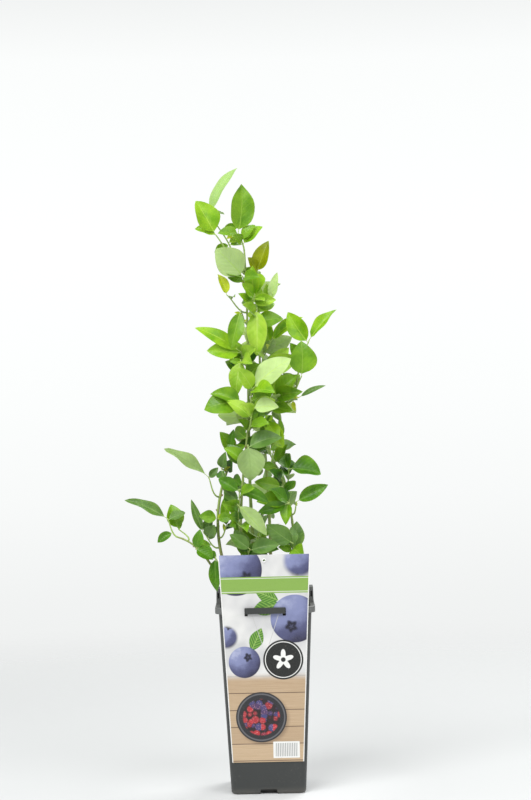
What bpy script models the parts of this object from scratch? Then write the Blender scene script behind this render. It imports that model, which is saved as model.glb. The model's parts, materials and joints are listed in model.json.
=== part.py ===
"""Young blueberry bush in a tall square pot with a printed hanging card.

Lengths are in metres, +Z is up and the front of the pot looks along -Y.
The origin is the middle of the pot's underside.
"""
import math
import random
from collections import namedtuple

import bmesh
import bpy
from mathutils import Vector
from mathutils.bvhtree import BVHTree

MM = 0.001
GAP = 0.3 * MM
UP = Vector((0.0, 0.0, 1.0))

# Pot: a tapered square tub of thin plastic
BASE_WIDTH = 76.9 * MM
WALL_TOP_WIDTH = 94.9 * MM
RIM_WIDTH = 102.5 * MM
RIM_BOTTOM = 186.4 * MM
RIM_TOP = 192.9 * MM
WALL = 1.2 * MM
CORNER_RADIUS = 8.0 * MM
BASE_EDGE_RADIUS = 3.0 * MM
RIM_EDGE = 0.5 * MM
CORNER_STEPS = 3
EDGE_STEPS = 2
HOLE_SIDES = 8
PAST = 1.0 * MM

# Drain notches in the foot of each side
NOTCH_BOTTOM_WIDTH = 18.7 * MM
NOTCH_TOP_WIDTH = 16.2 * MM
NOTCH_HEIGHT = 5.0 * MM
NOTCH_DEPTH = 10.0 * MM
DRAIN_RADIUS = 2.5 * MM
DRAIN_INSET = 6.0 * MM

# Lugs that stand on the rim at the left and the right
LUG_FOOT_OUT = 50.6 * MM
LUG_TOP_OUT = 50.2 * MM
LUG_FOOT_THICKNESS = 4.6 * MM
LUG_TOP_THICKNESS = 4.0 * MM
LUG_TOP = 209.0 * MM
LUG_LENGTH = 24.0 * MM
LUG_POCKET_WIDTH = 2.0 * MM
LUG_POCKET_BOTTOM = 198.8 * MM
LUG_POCKET_TOP = 204.8 * MM
LUG_POCKET_DEPTH = 5.0 * MM

# Hanging card, a flat sheet that leans on the rim
CARD_BOTTOM = 33.5 * MM
CARD_TOP = 247.0 * MM
CARD_BOTTOM_WIDTH = 73.4 * MM
CARD_TOP_WIDTH = 93.5 * MM
CARD_THICKNESS = 0.6 * MM
CARD_HOLE_RADIUS = 1.5 * MM
CARD_HOLE_HEIGHT = 241.0 * MM

# Loop on the front of the rim that holds the card
LOOP_WIDTH = 40.8 * MM
LOOP_BOTTOM = 186.6 * MM
LOOP_HEIGHT = 6.2 * MM
LOOP_BAR = 2.2 * MM
LOOP_WEB = 2.0 * MM
WEB_ABOVE_BAR_FOOT = 0.3 * MM
WEB_BELOW_BAR_TOP = 0.9 * MM
SLOT_WIDTH = 3.2 * MM
SLOT_BELOW_LOOP = 2.4 * MM
SLOT_BELOW_BAR_TOP = 0.4 * MM

# Potting soil
SOIL_TOP = 178.0 * MM

# Plant
STEM_SIDES = 5
STEM_STEPS = 11
TWIG_SIDES = 3
TWIG_STEPS = 5
TWIG_FOOT_RADIUS = 0.9 * MM
TWIG_TIP_RADIUS = 0.55 * MM
TWIG_OUT = 0.35
TWIG_LEAN = 0.7
TWIG_RISE = 0.05
LEAF_THICKNESS = 0.6 * MM
LEAF_STATIONS = (0.3, 0.55, 0.82)
LEAF_EGG = 0.86
LEAF_FULL = 0.8
LEAF_ARCH = 0.16
LEAF_ROOT = 0.3 * MM
SIZE_JITTER = 0.15
FACE_UP = 0.45
FACE_JITTER = 0.35
HEADING_STEP = 0.01
SIDE_LEAF_WIDTH = 0.58
LEAF_TURN = 144.0
LEAF_CLEAR = 0.45 * MM
RIM_CLEAR = 1.0 * MM
TURNS_ASIDE = (0, 18, -18, 36, -36, 54, -54)
FIRST_LEAF = 0.34
LAST_LEAF = 0.9

# Stems: foot, low pull and high pull of the curve, tip (all in mm), foot and tip radius in mm
STEMS = {
    "stem_left": ((-16, -8), (-70, -20, 260), (-50, -12, 345), (13, 5, 400), 1.8, 1.0),
    "stem_center": ((-3, 6), (-22, 12, 290), (-8, 12, 440), (-14, 2, 560), 2.1, 0.9),
    "stem_front": ((-9, -13), (-36, -34, 250), (-18, -30, 330), (-10, -20, 408), 1.8, 0.9),
    "stem_right": ((12, -4), (42, -14, 240), (32, -10, 300), (12, 0, 340), 1.7, 0.9),
    "stem_back": ((3, 17), (16, 46, 260), (-8, 38, 420), (2, 14, 537), 1.9, 0.9),
    "stem_low_left": ((-22, -22), (-46, -40, 215), (-56, -32, 255), (-88, -24, 264), 1.6, 0.9),
}

# Boughs: the limb that bears them, height on it, low pull, high pull, tip (mm)
BOUGHS = {
    "bough_top_left": ("stem_center", 536, (-20, 0, 543), (-28, -1, 552), (-33, -2, 561)),
    "bough_right": ("stem_left", 392, (24, 6, 396), (37, 7, 405), (39, 6, 426)),
}
BOUGH_FOOT_RADIUS = 1.1 * MM
BOUGH_TIP_RADIUS = 0.9 * MM

# Sprigs, each one mass of leaves on a twig. Lengths and places are in mm, angles in degrees.
# A height of None roots the twig on its limb's tip. Facing tells which way the leaves look,
# and a side leaf's turn counts from that way about the twig.
FRONT = 0
LEFT = 75
BACK = 180
RIGHT = 285
SPRIG_VALUES = "limb height end tip last_width count length turn spread facing"
Sprig = namedtuple("Sprig", SPRIG_VALUES, defaults=[FRONT])
SPRIGS = {
    "sprig_crown_left": Sprig("bough_top_left", None, (-44, -4, 578), (-63, -8, 613), 0.74, 1, 26, 270, 30),
    "sprig_crown_tip": Sprig("bough_top_left", 555, (-50, 6, 600), (-22, 2, 649), 0.27, 2, 18, 126, 95),
    "sprig_crown_top": Sprig("stem_center", None, (-20, 0, 579), (-15, -3, 630), 0.58, 2, 27, 306, 62),
    "sprig_crown_low": Sprig("stem_center", 524, (-16, -10, 533), (-43, -16, 562), 0.82, 2, 22, 250, 60),
    "sprig_crown_right": Sprig("stem_back", None, (-1, 6, 538), (10, -2, 570), 0.56, 2, 20, 60, 50),
    "sprig_upper_left": Sprig("stem_center", 496, (-33, -10, 514), (-41, -13, 536), 0.50, 0, 14, 90, 60),
    "sprig_upper_drop": Sprig("stem_center", 484, (-19, -14, 498), (-29, -20, 458), 0.42, 0, 26, 270, 60),
    "sprig_upper_right": Sprig("stem_back", 488, (13, 8, 508), (19, 2, 537), 0.36, 0, 24, 250, 50),
    "sprig_upper_mid": Sprig("stem_center", 502, (-4, -4, 512), (-6, -8, 544), 0.50, 3, 28, 300, 60),
    "sprig_upper_hang": Sprig("stem_center", 480, (-2, -6, 500), (-3, -12, 450), 0.46, 3, 30, 180, 60),
    "sprig_mid_left": Sprig("stem_center", 440, (-20, -4, 455), (-66, -12, 482), 0.34, 3, 32, 270, 60),
    "sprig_mid_drop": Sprig("stem_center", 428, (-20, -14, 446), (-26, -22, 410), 0.50, 2, 26, 60, 60),
    "sprig_mid_low_left": Sprig("stem_front", 380, (-20, -28, 403), (-58, -34, 399), 0.80, 1, 34, 270, 60),
    "sprig_mid_center": Sprig("stem_front", None, (-8, -26, 416), (32, -34, 446), 0.58, 3, 36, 270, 40),
    "sprig_mid_front": Sprig("stem_front", 372, (-8, -36, 396), (18, -40, 398), 0.75, 3, 30, 120, 60),
    "sprig_mid_right": Sprig("stem_center", 416, (5, 10, 440), (31, 8, 458), 0.58, 5, 36, 330, 50, RIGHT),
    "sprig_mid_right_low": Sprig("stem_left", None, (15, 2, 408), (38, -2, 430), 0.62, 3, 30, 60, 60),
    "sprig_right": Sprig("bough_right", None, (52, 5, 466), (80, 0, 498), 0.36, 1, 42, 270, 55),
    "sprig_right_inner": Sprig("stem_back", 450, (12, 16, 466), (44, 10, 492), 0.36, 1, 28, 250, 50),
    "sprig_right_front": Sprig("bough_right", 414, (43, -6, 428), (44, -12, 464), 0.85, 0, 24, 90, 40),
    "sprig_right_low": Sprig("bough_right", 401, (40, -6, 406), (67, -10, 419), 0.22, 1, 22, 270, 100),
    "sprig_center_low": Sprig("stem_left", 376, (6, -14, 382), (22, -20, 354), 0.60, 5, 32, 60, 60),
    "sprig_center_deep": Sprig("stem_right", None, (4, 2, 358), (9, -6, 386), 0.58, 5, 34, 0, 60, RIGHT),
    "sprig_center_high": Sprig("stem_center", 376, (-2, -4, 392), (2, -10, 428), 0.55, 5, 34, 120, 60, LEFT),
    "sprig_front_mid": Sprig("stem_front", 330, (-14, -38, 358), (-11, -44, 322), 0.84, 2, 32, 90, 60),
    "sprig_low_right": Sprig("stem_right", 314, (28, -10, 332), (61, -14, 327), 0.80, 2, 26, 200, 60),
    "sprig_low_right_side": Sprig("stem_right", 284, (35, -14, 298), (68, -18, 315), 0.44, 0, 22, 250, 60),
    "sprig_left": Sprig("stem_left", 304, (-56, -20, 326), (-101, -30, 356), 0.29, 1, 17, 90, 60),
    "sprig_left_hang": Sprig("stem_left", 330, (-42, -22, 334), (-35, -26, 302), 0.25, 1, 18, 90, 50),
    "sprig_left_high": Sprig("stem_left", 342, (-33, -16, 353), (-29, -20, 374), 0.42, 0, 18, 90, 50),
    "sprig_left_low": Sprig("stem_left", 252, (-62, -20, 268), (-74, -22, 303), 0.26, 2, 20, 90, 60),
    "sprig_left_side": Sprig("stem_left", 278, (-47, -26, 283), (-66, -30, 286), 0.70, 1, 20, 90, 60),
    "sprig_left_up": Sprig("stem_left", 262, (-38, -22, 274), (-40, -26, 304), 0.36, 1, 24, 60, 50),
    "sprig_branch_tip": Sprig("stem_low_left", None, (-99, -26, 284), (-140, -32, 307), 0.30, 2, 20, 126, 95),
    "sprig_branch_top": Sprig("stem_low_left", 260, (-88, -16, 272), (-95, -16, 298), 0.74, 1, 13, 90, 50),
    "sprig_branch_mid": Sprig("stem_low_left", 246, (-70, -38, 253), (-52, -42, 242), 0.85, 1, 20, 90, 60),
    "sprig_branch_low": Sprig("stem_low_left", 214, (-50, -38, 244), (-49, -42, 209), 0.40, 1, 16, 200, 50),
    "sprig_front_low": Sprig("stem_front", 288, (-24, -40, 313), (6, -46, 301), 0.42, 4, 30, 250, 60),
    "sprig_front_drop": Sprig("stem_front", 270, (-26, -48, 298), (4, -54, 267), 0.40, 3, 32, 90, 60),
    "sprig_front_right": Sprig("stem_right", 296, (26, -26, 297), (-6, -32, 288), 0.42, 2, 32, 90, 60),
    "sprig_front_high": Sprig("stem_right", 306, (20, -20, 314), (-8, -26, 320), 0.52, 2, 24, 90, 60),
    "sprig_base_right": Sprig("stem_right", 244, (30, -32, 256), (4, -40, 276), 0.62, 3, 30, 240, 60),
    "sprig_base_left": Sprig("stem_front", 236, (-14, -46, 252), (-34, -48, 268), 0.60, 4, 30, 90, 60),
    "sprig_base_mid": Sprig("stem_center", 246, (-4, -6, 262), (2, -10, 294), 0.55, 5, 34, 30, 60, LEFT),
    "sprig_back_low": Sprig("stem_back", 232, (-10, 52, 252), (-28, 58, 272), 0.52, 5, 34, 60, 55, 150),
    "sprig_back_side": Sprig("stem_back", 330, (14, 56, 356), (10, 62, 388), 0.50, 5, 30, 200, 55, 240),
    "sprig_back_right": Sprig("stem_back", 282, (14, 58, 298), (22, 62, 324), 0.52, 5, 32, 200, 55, 210),
    "sprig_back_left": Sprig("stem_back", 372, (-14, 46, 386), (-28, 50, 408), 0.52, 5, 34, 60, 55, 120),
    "sprig_back_high": Sprig("stem_back", 440, (4, 40, 458), (10, 46, 490), 0.50, 5, 34, 120, 55, BACK),
}

COLORS = {
    "pot": (0.062, 0.066, 0.066),
    "soil": (0.045, 0.030, 0.020),
    "card": (0.60, 0.58, 0.55),
    "bark": (0.22, 0.26, 0.08),
    "leaf": (0.10, 0.27, 0.03),
}
ROUGHNESS = {"pot": 0.42, "soil": 0.95, "card": 0.35, "bark": 0.6, "leaf": 0.45}


def clear_scene():
    """Remove the objects that a new file opens with."""
    for item in list(bpy.data.objects):
        bpy.data.objects.remove(item, do_unlink=True)


def material(name, kind):
    """A plain Principled material in one of the plant's colours."""
    made = bpy.data.materials.new(name)
    made.use_nodes = True
    shader = made.node_tree.nodes["Principled BSDF"]
    shader.inputs["Base Color"].default_value = (*COLORS[kind], 1.0)
    shader.inputs["Roughness"].default_value = ROUGHNESS[kind]
    shader.inputs["Metallic"].default_value = 0.0
    made.diffuse_color = (*COLORS[kind], 1.0)
    return made


def add_object(name, points, faces, kind, collection=None):
    """Make a mesh object, its faces turned outward."""
    mesh = bpy.data.meshes.new(name)
    mesh.from_pydata([tuple(point) for point in points], [], faces)
    shape = bmesh.new()
    shape.from_mesh(mesh)
    bmesh.ops.recalc_face_normals(shape, faces=shape.faces)
    shape.to_mesh(mesh)
    shape.free()
    made = bpy.data.objects.new(name, mesh)
    (collection or bpy.context.scene.collection).objects.link(made)
    if kind:
        mesh.materials.append(material(name, kind))
    return made


def add_cutter(name, points, faces):
    """Make a helper shape that only a Boolean reads."""
    made = add_object(name, points, faces, None)
    made.hide_render = True
    made.display_type = "WIRE"
    return made


def add_boolean(target, tool, operation):
    """Let the target be cut by, or joined with, one helper shape."""
    step = target.modifiers.new(tool.name, "BOOLEAN")
    step.operation = operation
    step.solver = "EXACT"
    step.object = tool


def smooth(item, angle=35.0):
    """Shade the round stretches smooth and keep the sharp edges."""
    item.data.shade_smooth()
    item.data.set_sharp_from_angle(angle=math.radians(angle))


def square_ring(half, radius, height):
    """Points of a square with round corners, seen from above."""
    ring = []
    inset = half - radius
    for corner in range(4):
        middle = math.radians(45 + 90 * corner)
        cx = math.copysign(inset, math.cos(middle))
        cy = math.copysign(inset, math.sin(middle))
        for step in range(CORNER_STEPS + 1):
            angle = math.radians(90 * corner + 90 * step / CORNER_STEPS)
            ring.append((cx + radius * math.cos(angle), cy + radius * math.sin(angle), height))
    return ring


def loft(rings):
    """Points and faces of a solid skinned over equal rings, with flat ends."""
    count = len(rings[0])
    points = [point for ring in rings for point in ring]
    faces = [tuple(range(count))[::-1]]
    for row in range(len(rings) - 1):
        for side in range(count):
            other = (side + 1) % count
            low = row * count
            high = low + count
            faces.append((low + side, low + other, high + other, high + side))
    faces.append(tuple(range(len(points) - count, len(points))))
    return points, faces


def prism(outline, start, end):
    """Points and faces of a solid that joins an outline at two places."""
    rings = [[tuple(Vector(point) + Vector(shift)) for point in outline] for shift in (start, end)]
    return loft(rings)


def box(low, high):
    """Points and faces of a box between two corners."""
    outline = [(low[0], low[1], 0), (high[0], low[1], 0), (high[0], high[1], 0), (low[0], high[1], 0)]
    return prism(outline, (0, 0, low[2]), (0, 0, high[2]))


def wall_half(height):
    """Half the outer width of the pot's wall at one height."""
    share = height / RIM_BOTTOM
    return 0.5 * (BASE_WIDTH + (WALL_TOP_WIDTH - BASE_WIDTH) * share)


def card_front(height):
    """Y of the card's front face: it leans from the wall's foot out over the rim."""
    low = -wall_half(CARD_BOTTOM) - GAP
    high = -0.5 * RIM_WIDTH - GAP
    share = (height - CARD_BOTTOM) / (RIM_BOTTOM - CARD_BOTTOM)
    return low + (high - low) * share - CARD_THICKNESS


def turned(points, quarter):
    """Turn points about the Z axis by quarter turns."""
    cosine = round(math.cos(0.5 * math.pi * quarter))
    sine = round(math.sin(0.5 * math.pi * quarter))
    return [(p[0] * cosine - p[1] * sine, p[0] * sine + p[1] * cosine, p[2]) for p in points]


def notch_shape(grow, depth_from, bottom):
    """Trapezoid block at the front foot of the pot, grown by a margin."""
    low = 0.5 * NOTCH_BOTTOM_WIDTH + grow
    high = 0.5 * NOTCH_TOP_WIDTH + grow
    top = NOTCH_HEIGHT + grow
    outline = [(-low, 0, bottom), (low, 0, bottom), (high, 0, top), (-high, 0, top)]
    inner = -wall_half(0.0) + NOTCH_DEPTH + grow
    return prism(outline, (0, depth_from, 0), (0, inner, 0))


def foot_rings(inset):
    """Rings of the tub's round foot, moved in from its outside by an inset."""
    rings = []
    for step in range(EDGE_STEPS + 1):
        angle = math.radians(90 * step / EDGE_STEPS)
        back = inset + BASE_EDGE_RADIUS * (1 - math.sin(angle))
        height = BASE_EDGE_RADIUS * (1 - math.cos(angle))
        rings.append(square_ring(wall_half(height) - back, CORNER_RADIUS - back, height + inset))
    return rings


def round_hole(radius):
    """Points about a round hole's middle."""
    angles = [2 * math.pi * step / HOLE_SIDES for step in range(HOLE_SIDES)]
    return [(radius * math.cos(angle), radius * math.sin(angle)) for angle in angles]


def make_pot():
    """Tub with a rim, drain notches in its foot, two lugs and the card's loop."""
    half = 0.5 * RIM_WIDTH
    outer = foot_rings(0.0) + [
        square_ring(wall_half(RIM_BOTTOM), CORNER_RADIUS, RIM_BOTTOM),
        square_ring(half, CORNER_RADIUS, RIM_BOTTOM),
        square_ring(half, CORNER_RADIUS, RIM_TOP - RIM_EDGE),
        square_ring(half - RIM_EDGE, CORNER_RADIUS - RIM_EDGE, RIM_TOP),
    ]
    pot = add_object("pot", *loft(outer), "pot")
    mouth = wall_half(RIM_BOTTOM) - WALL
    inner = foot_rings(WALL) + [
        square_ring(mouth, CORNER_RADIUS - WALL, RIM_BOTTOM),
        square_ring(mouth, CORNER_RADIUS - WALL, RIM_TOP + PAST),
    ]
    add_boolean(pot, add_cutter("cut_inside", *loft(inner)), "DIFFERENCE")
    face = wall_half(0)
    for quarter in range(4):
        points, faces = notch_shape(WALL, 0.5 * WALL - face, 0.5 * WALL)
        pocket = add_cutter(f"notch_pocket_{quarter}", turned(points, quarter), faces)
        add_boolean(pot, pocket, "UNION")
    for quarter in range(4):
        points, faces = notch_shape(0.0, -face - PAST, -PAST)
        notch = add_cutter(f"cut_notch_{quarter}", turned(points, quarter), faces)
        add_boolean(pot, notch, "DIFFERENCE")
        ring = [(x, y + DRAIN_INSET - face, 0) for x, y in round_hole(DRAIN_RADIUS)]
        points, faces = prism(ring, (0, 0, 0.5 * NOTCH_HEIGHT), (0, 0, NOTCH_HEIGHT + WALL + PAST))
        drain = add_cutter(f"cut_drain_{quarter}", turned(points, quarter), faces)
        add_boolean(pot, drain, "DIFFERENCE")
    for side in (-1, 1):
        add_lug(pot, side)
    add_loop(pot)
    smooth(pot)


def add_lug(pot, side):
    """One upright lug on the rim, with a small pocket in each end."""
    name = "left" if side < 0 else "right"
    foot = 0.5 * (RIM_BOTTOM + RIM_TOP)
    outline = [
        (side * LUG_FOOT_OUT, 0, foot),
        (side * (LUG_FOOT_OUT - LUG_FOOT_THICKNESS), 0, foot),
        (side * (LUG_TOP_OUT - LUG_TOP_THICKNESS), 0, LUG_TOP),
        (side * LUG_TOP_OUT, 0, LUG_TOP),
    ]
    half = 0.5 * LUG_LENGTH
    lug = add_cutter(f"lug_{name}", *prism(outline, (0, -half, 0), (0, half, 0)))
    add_boolean(pot, lug, "UNION")
    thickness = 0.5 * (LUG_FOOT_THICKNESS + LUG_TOP_THICKNESS)
    middle = side * 0.5 * (LUG_FOOT_OUT + LUG_TOP_OUT - thickness)
    wide = 0.5 * LUG_POCKET_WIDTH
    for end in (-1, 1):
        near = sorted((end * (half - LUG_POCKET_DEPTH), end * (half + PAST)))
        low = (middle - wide, near[0], LUG_POCKET_BOTTOM)
        high = (middle + wide, near[1], LUG_POCKET_TOP)
        add_boolean(pot, add_cutter(f"cut_lug_{name}_{end + 1}", *box(low, high)), "DIFFERENCE")


def add_loop(pot):
    """Bar in front of the card, joined to the rim by a web at each end."""
    top = LOOP_BOTTOM + LOOP_HEIGHT
    back = card_front(top) - GAP
    half = 0.5 * LOOP_WIDTH
    bar = add_cutter("loop_bar", *box((-half, back - LOOP_BAR, LOOP_BOTTOM), (half, back, top)))
    for side in (-1, 1):
        near = sorted((side * half, side * (half - LOOP_WEB)))
        low = (near[0], back - 0.5 * LOOP_BAR, LOOP_BOTTOM + WEB_ABOVE_BAR_FOOT)
        high = (near[1], 0.5 * WALL - 0.5 * RIM_WIDTH, top - WEB_BELOW_BAR_TOP)
        add_boolean(pot, add_cutter(f"loop_web_{side + 1}", *box(low, high)), "UNION")
    add_boolean(pot, bar, "UNION")


def make_soil():
    """Block of potting soil, clear of the pot's walls and of its drain pockets."""
    inset = WALL + GAP
    top = square_ring(wall_half(SOIL_TOP) - inset, CORNER_RADIUS - inset, SOIL_TOP)
    soil = add_object("soil", *loft(foot_rings(inset) + [top]), "soil")
    for quarter in range(4):
        points, faces = notch_shape(inset, -wall_half(0) - PAST, 0.5 * WALL)
        add_boolean(soil, add_cutter(f"cut_soil_{quarter}", turned(points, quarter), faces), "DIFFERENCE")


def make_card():
    """Flat card with a slot for each web of the loop and a small hole at its top."""
    low, high = 0.5 * CARD_BOTTOM_WIDTH, 0.5 * CARD_TOP_WIDTH
    foot, head = card_front(CARD_BOTTOM), card_front(CARD_TOP)
    outline = [(-low, foot, CARD_BOTTOM), (low, foot, CARD_BOTTOM)]
    outline += [(high, head, CARD_TOP), (-high, head, CARD_TOP)]
    card = add_object("label_card", *prism(outline, (0, 0, 0), (0, CARD_THICKNESS, 0)), "card")
    half = 0.5 * LOOP_WIDTH
    margin = 0.5 * (SLOT_WIDTH - LOOP_WEB)
    face = card_front(LOOP_BOTTOM)
    for side in (-1, 1):
        near = sorted((side * (half + margin), side * (half - LOOP_WEB - margin)))
        low = (near[0], face - 3 * PAST, LOOP_BOTTOM - SLOT_BELOW_LOOP)
        high = (near[1], face + 3 * PAST, LOOP_BOTTOM + LOOP_HEIGHT - SLOT_BELOW_BAR_TOP)
        add_boolean(card, add_cutter(f"cut_slot_{side + 1}", *box(low, high)), "DIFFERENCE")
    ring = [(x, card_front(CARD_HOLE_HEIGHT), CARD_HOLE_HEIGHT + z) for x, z in round_hole(CARD_HOLE_RADIUS)]
    hole = add_cutter("cut_card_hole", *prism(ring, (0, -2 * PAST, 0), (0, 2 * PAST, 0)))
    add_boolean(card, hole, "DIFFERENCE")


def curve_point(ends, share):
    """Point of the cubic curve through two ends with two pulls."""
    rest = 1.0 - share
    weights = (rest ** 3, 3 * rest * rest * share, 3 * rest * share * share, share ** 3)
    total = Vector((0.0, 0.0, 0.0))
    for weight, point in zip(weights, ends):
        total += weight * point
    return total


def curve_path(ends, steps):
    """Evenly numbered points along a limb."""
    return [curve_point(ends, step / steps) for step in range(steps + 1)]


def at_height(ends, height):
    """Share along a rising limb where it reaches a height."""
    low, high = 0.0, 1.0
    for _ in range(30):
        middle = 0.5 * (low + high)
        if curve_point(ends, middle).z < height:
            low = middle
        else:
            high = middle
    return low


def heading(ends, share):
    """Direction of growth at a share along a limb."""
    start = max(share - HEADING_STEP, 0.0)
    end = min(share + HEADING_STEP, 1.0)
    return (curve_point(ends, end) - curve_point(ends, start)).normalized()


def tube(path, first_radius, last_radius, sides, first_direction=None):
    """Points and faces of a tapering limb with flat ends, its rings carried without twist."""
    rings = []
    across = None
    for index, point in enumerate(path):
        before = path[max(index - 1, 0)]
        after = path[min(index + 1, len(path) - 1)]
        direction = (after - before).normalized()
        if index == 0 and first_direction:
            direction = first_direction
        if across is None:
            across = Vector((1.0, 0.0, 0.0)) if abs(direction.x) < 0.8 else Vector((0.0, 1.0, 0.0))
        across = (across - across.dot(direction) * direction).normalized()
        other = direction.cross(across)
        share = index / (len(path) - 1)
        radius = first_radius + (last_radius - first_radius) * share
        ring = []
        for side in range(sides):
            angle = 2 * math.pi * side / sides
            ring.append(point + radius * (math.cos(angle) * across + math.sin(angle) * other))
        rings.append(ring)
    return loft(rings)


def leaf_half_width(share):
    """Half width of a leaf over its full width: egg-shaped, widest below the middle."""
    return 0.5 * math.sin(math.pi * share ** LEAF_EGG) ** LEAF_FULL


def leaf_frame(base, tip, facing):
    """Length, direction, sideways and upper normal of a leaf."""
    along = tip - base
    length = along.length
    along = along / length
    side = along.cross(facing)
    if side.length < 0.05:
        side = along.cross(UP)
    side = side.normalized()
    return length, along, side, side.cross(along)


def leaf_solid(base, tip, facing, width_share, grow=0.0):
    """Points and faces of a thin arched plate, its root sunk in the twig."""
    length, along, side, normal = leaf_frame(base, tip, facing)
    thick = normal * (0.5 * LEAF_THICKNESS + grow)
    rows = [[base - along * LEAF_ROOT]]
    for share in LEAF_STATIONS:
        half = leaf_half_width(share) * width_share * length + grow
        middle = base + along * share * length + normal * LEAF_ARCH * length * (share - share * share)
        rows.append([middle - side * half, middle + side * half])
    rows.append([tip + along * grow])
    points = []
    for row in rows:
        for place in row:
            points.append(place + thick)
            points.append(place - thick)
    return points, leaf_faces(rows)


def leaf_faces(rows):
    """Faces of a plate whose rows hold one point at each end and two between."""
    index = []
    number = 0
    for row in rows:
        index.append([number + 2 * step for step in range(len(row))])
        number += 2 * len(row)
    faces = []
    for low, high in zip(index, index[1:]):
        cell = low + high[::-1]
        faces.append(tuple(cell))
        faces.append(tuple(corner + 1 for corner in cell[::-1]))
        for first, second in ((high[0], low[0]), (low[-1], high[-1])):
            faces.append((first, second, second + 1, first + 1))
    return faces


class Space:
    """What already stands in the plant's space, each shape with the name of its owner."""

    def __init__(self):
        self.solids = []

    def tree(self, shape):
        """Search tree of a shape's points and faces."""
        points, faces = shape
        return BVHTree.FromPolygons([Vector(point) for point in points], faces)

    def add(self, owner, shape):
        """Let a shape take its place."""
        self.solids.append((owner, self.tree(shape)))

    def is_free(self, owner, shape):
        """Tell whether a shape touches nothing but its owner's own pieces."""
        tree = self.tree(shape)
        return not any(name != owner and tree.overlap(other) for name, other in self.solids)


def limb_ends():
    """Curve, foot and tip radius and first direction of every stem and bough, in metres."""
    limbs = {}
    for name, (foot, low, high, tip, first, last) in STEMS.items():
        start = Vector((foot[0] * MM, foot[1] * MM, SOIL_TOP + GAP))
        ends = [start] + [Vector(point) * MM for point in (low, high, tip)]
        limbs[name] = (ends, first * MM, last * MM, UP)
    for name, (parent, height, low, high, tip) in BOUGHS.items():
        pulls = [Vector(point) * MM for point in (low, high, tip)]
        start, out = root_of(limbs[parent], height, pulls[0])
        limbs[name] = ([start] + pulls, BOUGH_FOOT_RADIUS, BOUGH_TIP_RADIUS, out)
    return limbs


def root_of(limb, height, target):
    """Start and first direction of a side limb, just clear of the limb that bears it."""
    ends, first, last, _ = limb
    if height is None:
        direction = heading(ends, 1.0)
        return ends[3] + direction * GAP, direction
    share = at_height(ends, height * MM)
    place = curve_point(ends, share)
    radius = first + (last - first) * share
    growth = heading(ends, share)
    out = target - place
    out = (out - out.dot(growth) * growth).normalized()
    return place + out * (radius + GAP), out


def twig_ends(limbs, row):
    """Curve of a sprig's twig: it leaves its limb squarely and bends to its end."""
    end = Vector(row.end) * MM
    start, direction = root_of(limbs[row.limb], row.height, end)
    span = (end - start).length
    rise = UP * TWIG_RISE * span
    return [start, start + direction * TWIG_OUT * span, start.lerp(end, TWIG_LEAN) + rise, end]


def facing_of(row, seed):
    """Way the upper sides of a sprig's leaves look, up and out."""
    angle = math.radians(row.facing)
    out = Vector((-math.sin(angle), -math.cos(angle), 0.0))
    jitter = Vector([seed.uniform(-FACE_JITTER, FACE_JITTER) for _ in range(3)])
    return (FACE_UP * UP + out + jitter).normalized()


def leaf_tip(ends, share, turn, length, row):
    """Foot and tip of a side leaf from its place on the twig and its turn about it."""
    base = curve_point(ends, share)
    growth = heading(ends, share)
    angle = math.radians(row.facing)
    front = Vector((-math.sin(angle), -math.cos(angle), 0.0))
    first = (front - front.dot(growth) * growth).normalized()
    second = growth.cross(first)
    around = math.radians(turn)
    out = math.cos(around) * first + math.sin(around) * second
    spread = math.radians(row.spread)
    direction = math.cos(spread) * growth + math.sin(spread) * out
    return base, base + direction * length


def fill_space(limbs):
    """Space with the stems, the boughs, the card, the rim and the lugs in it."""
    space = Space()
    for name, (ends, first, last, _) in limbs.items():
        path = curve_path(ends, STEM_STEPS)
        space.add(name, tube(path, first + LEAF_CLEAR, last + LEAF_CLEAR, STEM_SIDES))
    card = bpy.data.objects["label_card"].data
    space.add("label_card", ([v.co for v in card.vertices], [tuple(p.vertices) for p in card.polygons]))
    half = 0.5 * RIM_WIDTH + RIM_CLEAR
    rim = [square_ring(half, CORNER_RADIUS, height) for height in (RIM_BOTTOM, RIM_TOP + RIM_CLEAR)]
    space.add("pot", loft(rim))
    half = 0.5 * LUG_LENGTH + RIM_CLEAR
    for side in (-1, 1):
        inner = side * (LUG_TOP_OUT - LUG_FOOT_THICKNESS - RIM_CLEAR)
        near = sorted((inner, side * (LUG_FOOT_OUT + RIM_CLEAR)))
        space.add("pot", box((near[0], -half, RIM_TOP), (near[1], half, LUG_TOP + RIM_CLEAR)))
    return space


def side_leaf(name, row, ends, number, space, seed):
    """One leaf of the spiral on a twig, turned aside or left out where it would touch."""
    steps = max(row.count - 1, 1)
    share = LAST_LEAF - (LAST_LEAF - FIRST_LEAF) * number / steps
    size = row.length * MM * seed.uniform(1 - SIZE_JITTER, 1 + SIZE_JITTER)
    facing = facing_of(row, seed)
    for change in TURNS_ASIDE:
        turn = row.turn + LEAF_TURN * number + change
        base, tip = leaf_tip(ends, share, turn, size, row)
        leaf = (base, tip, facing, SIDE_LEAF_WIDTH)
        if space.is_free(name, leaf_solid(*leaf, LEAF_CLEAR)):
            return leaf
    return None


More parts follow.
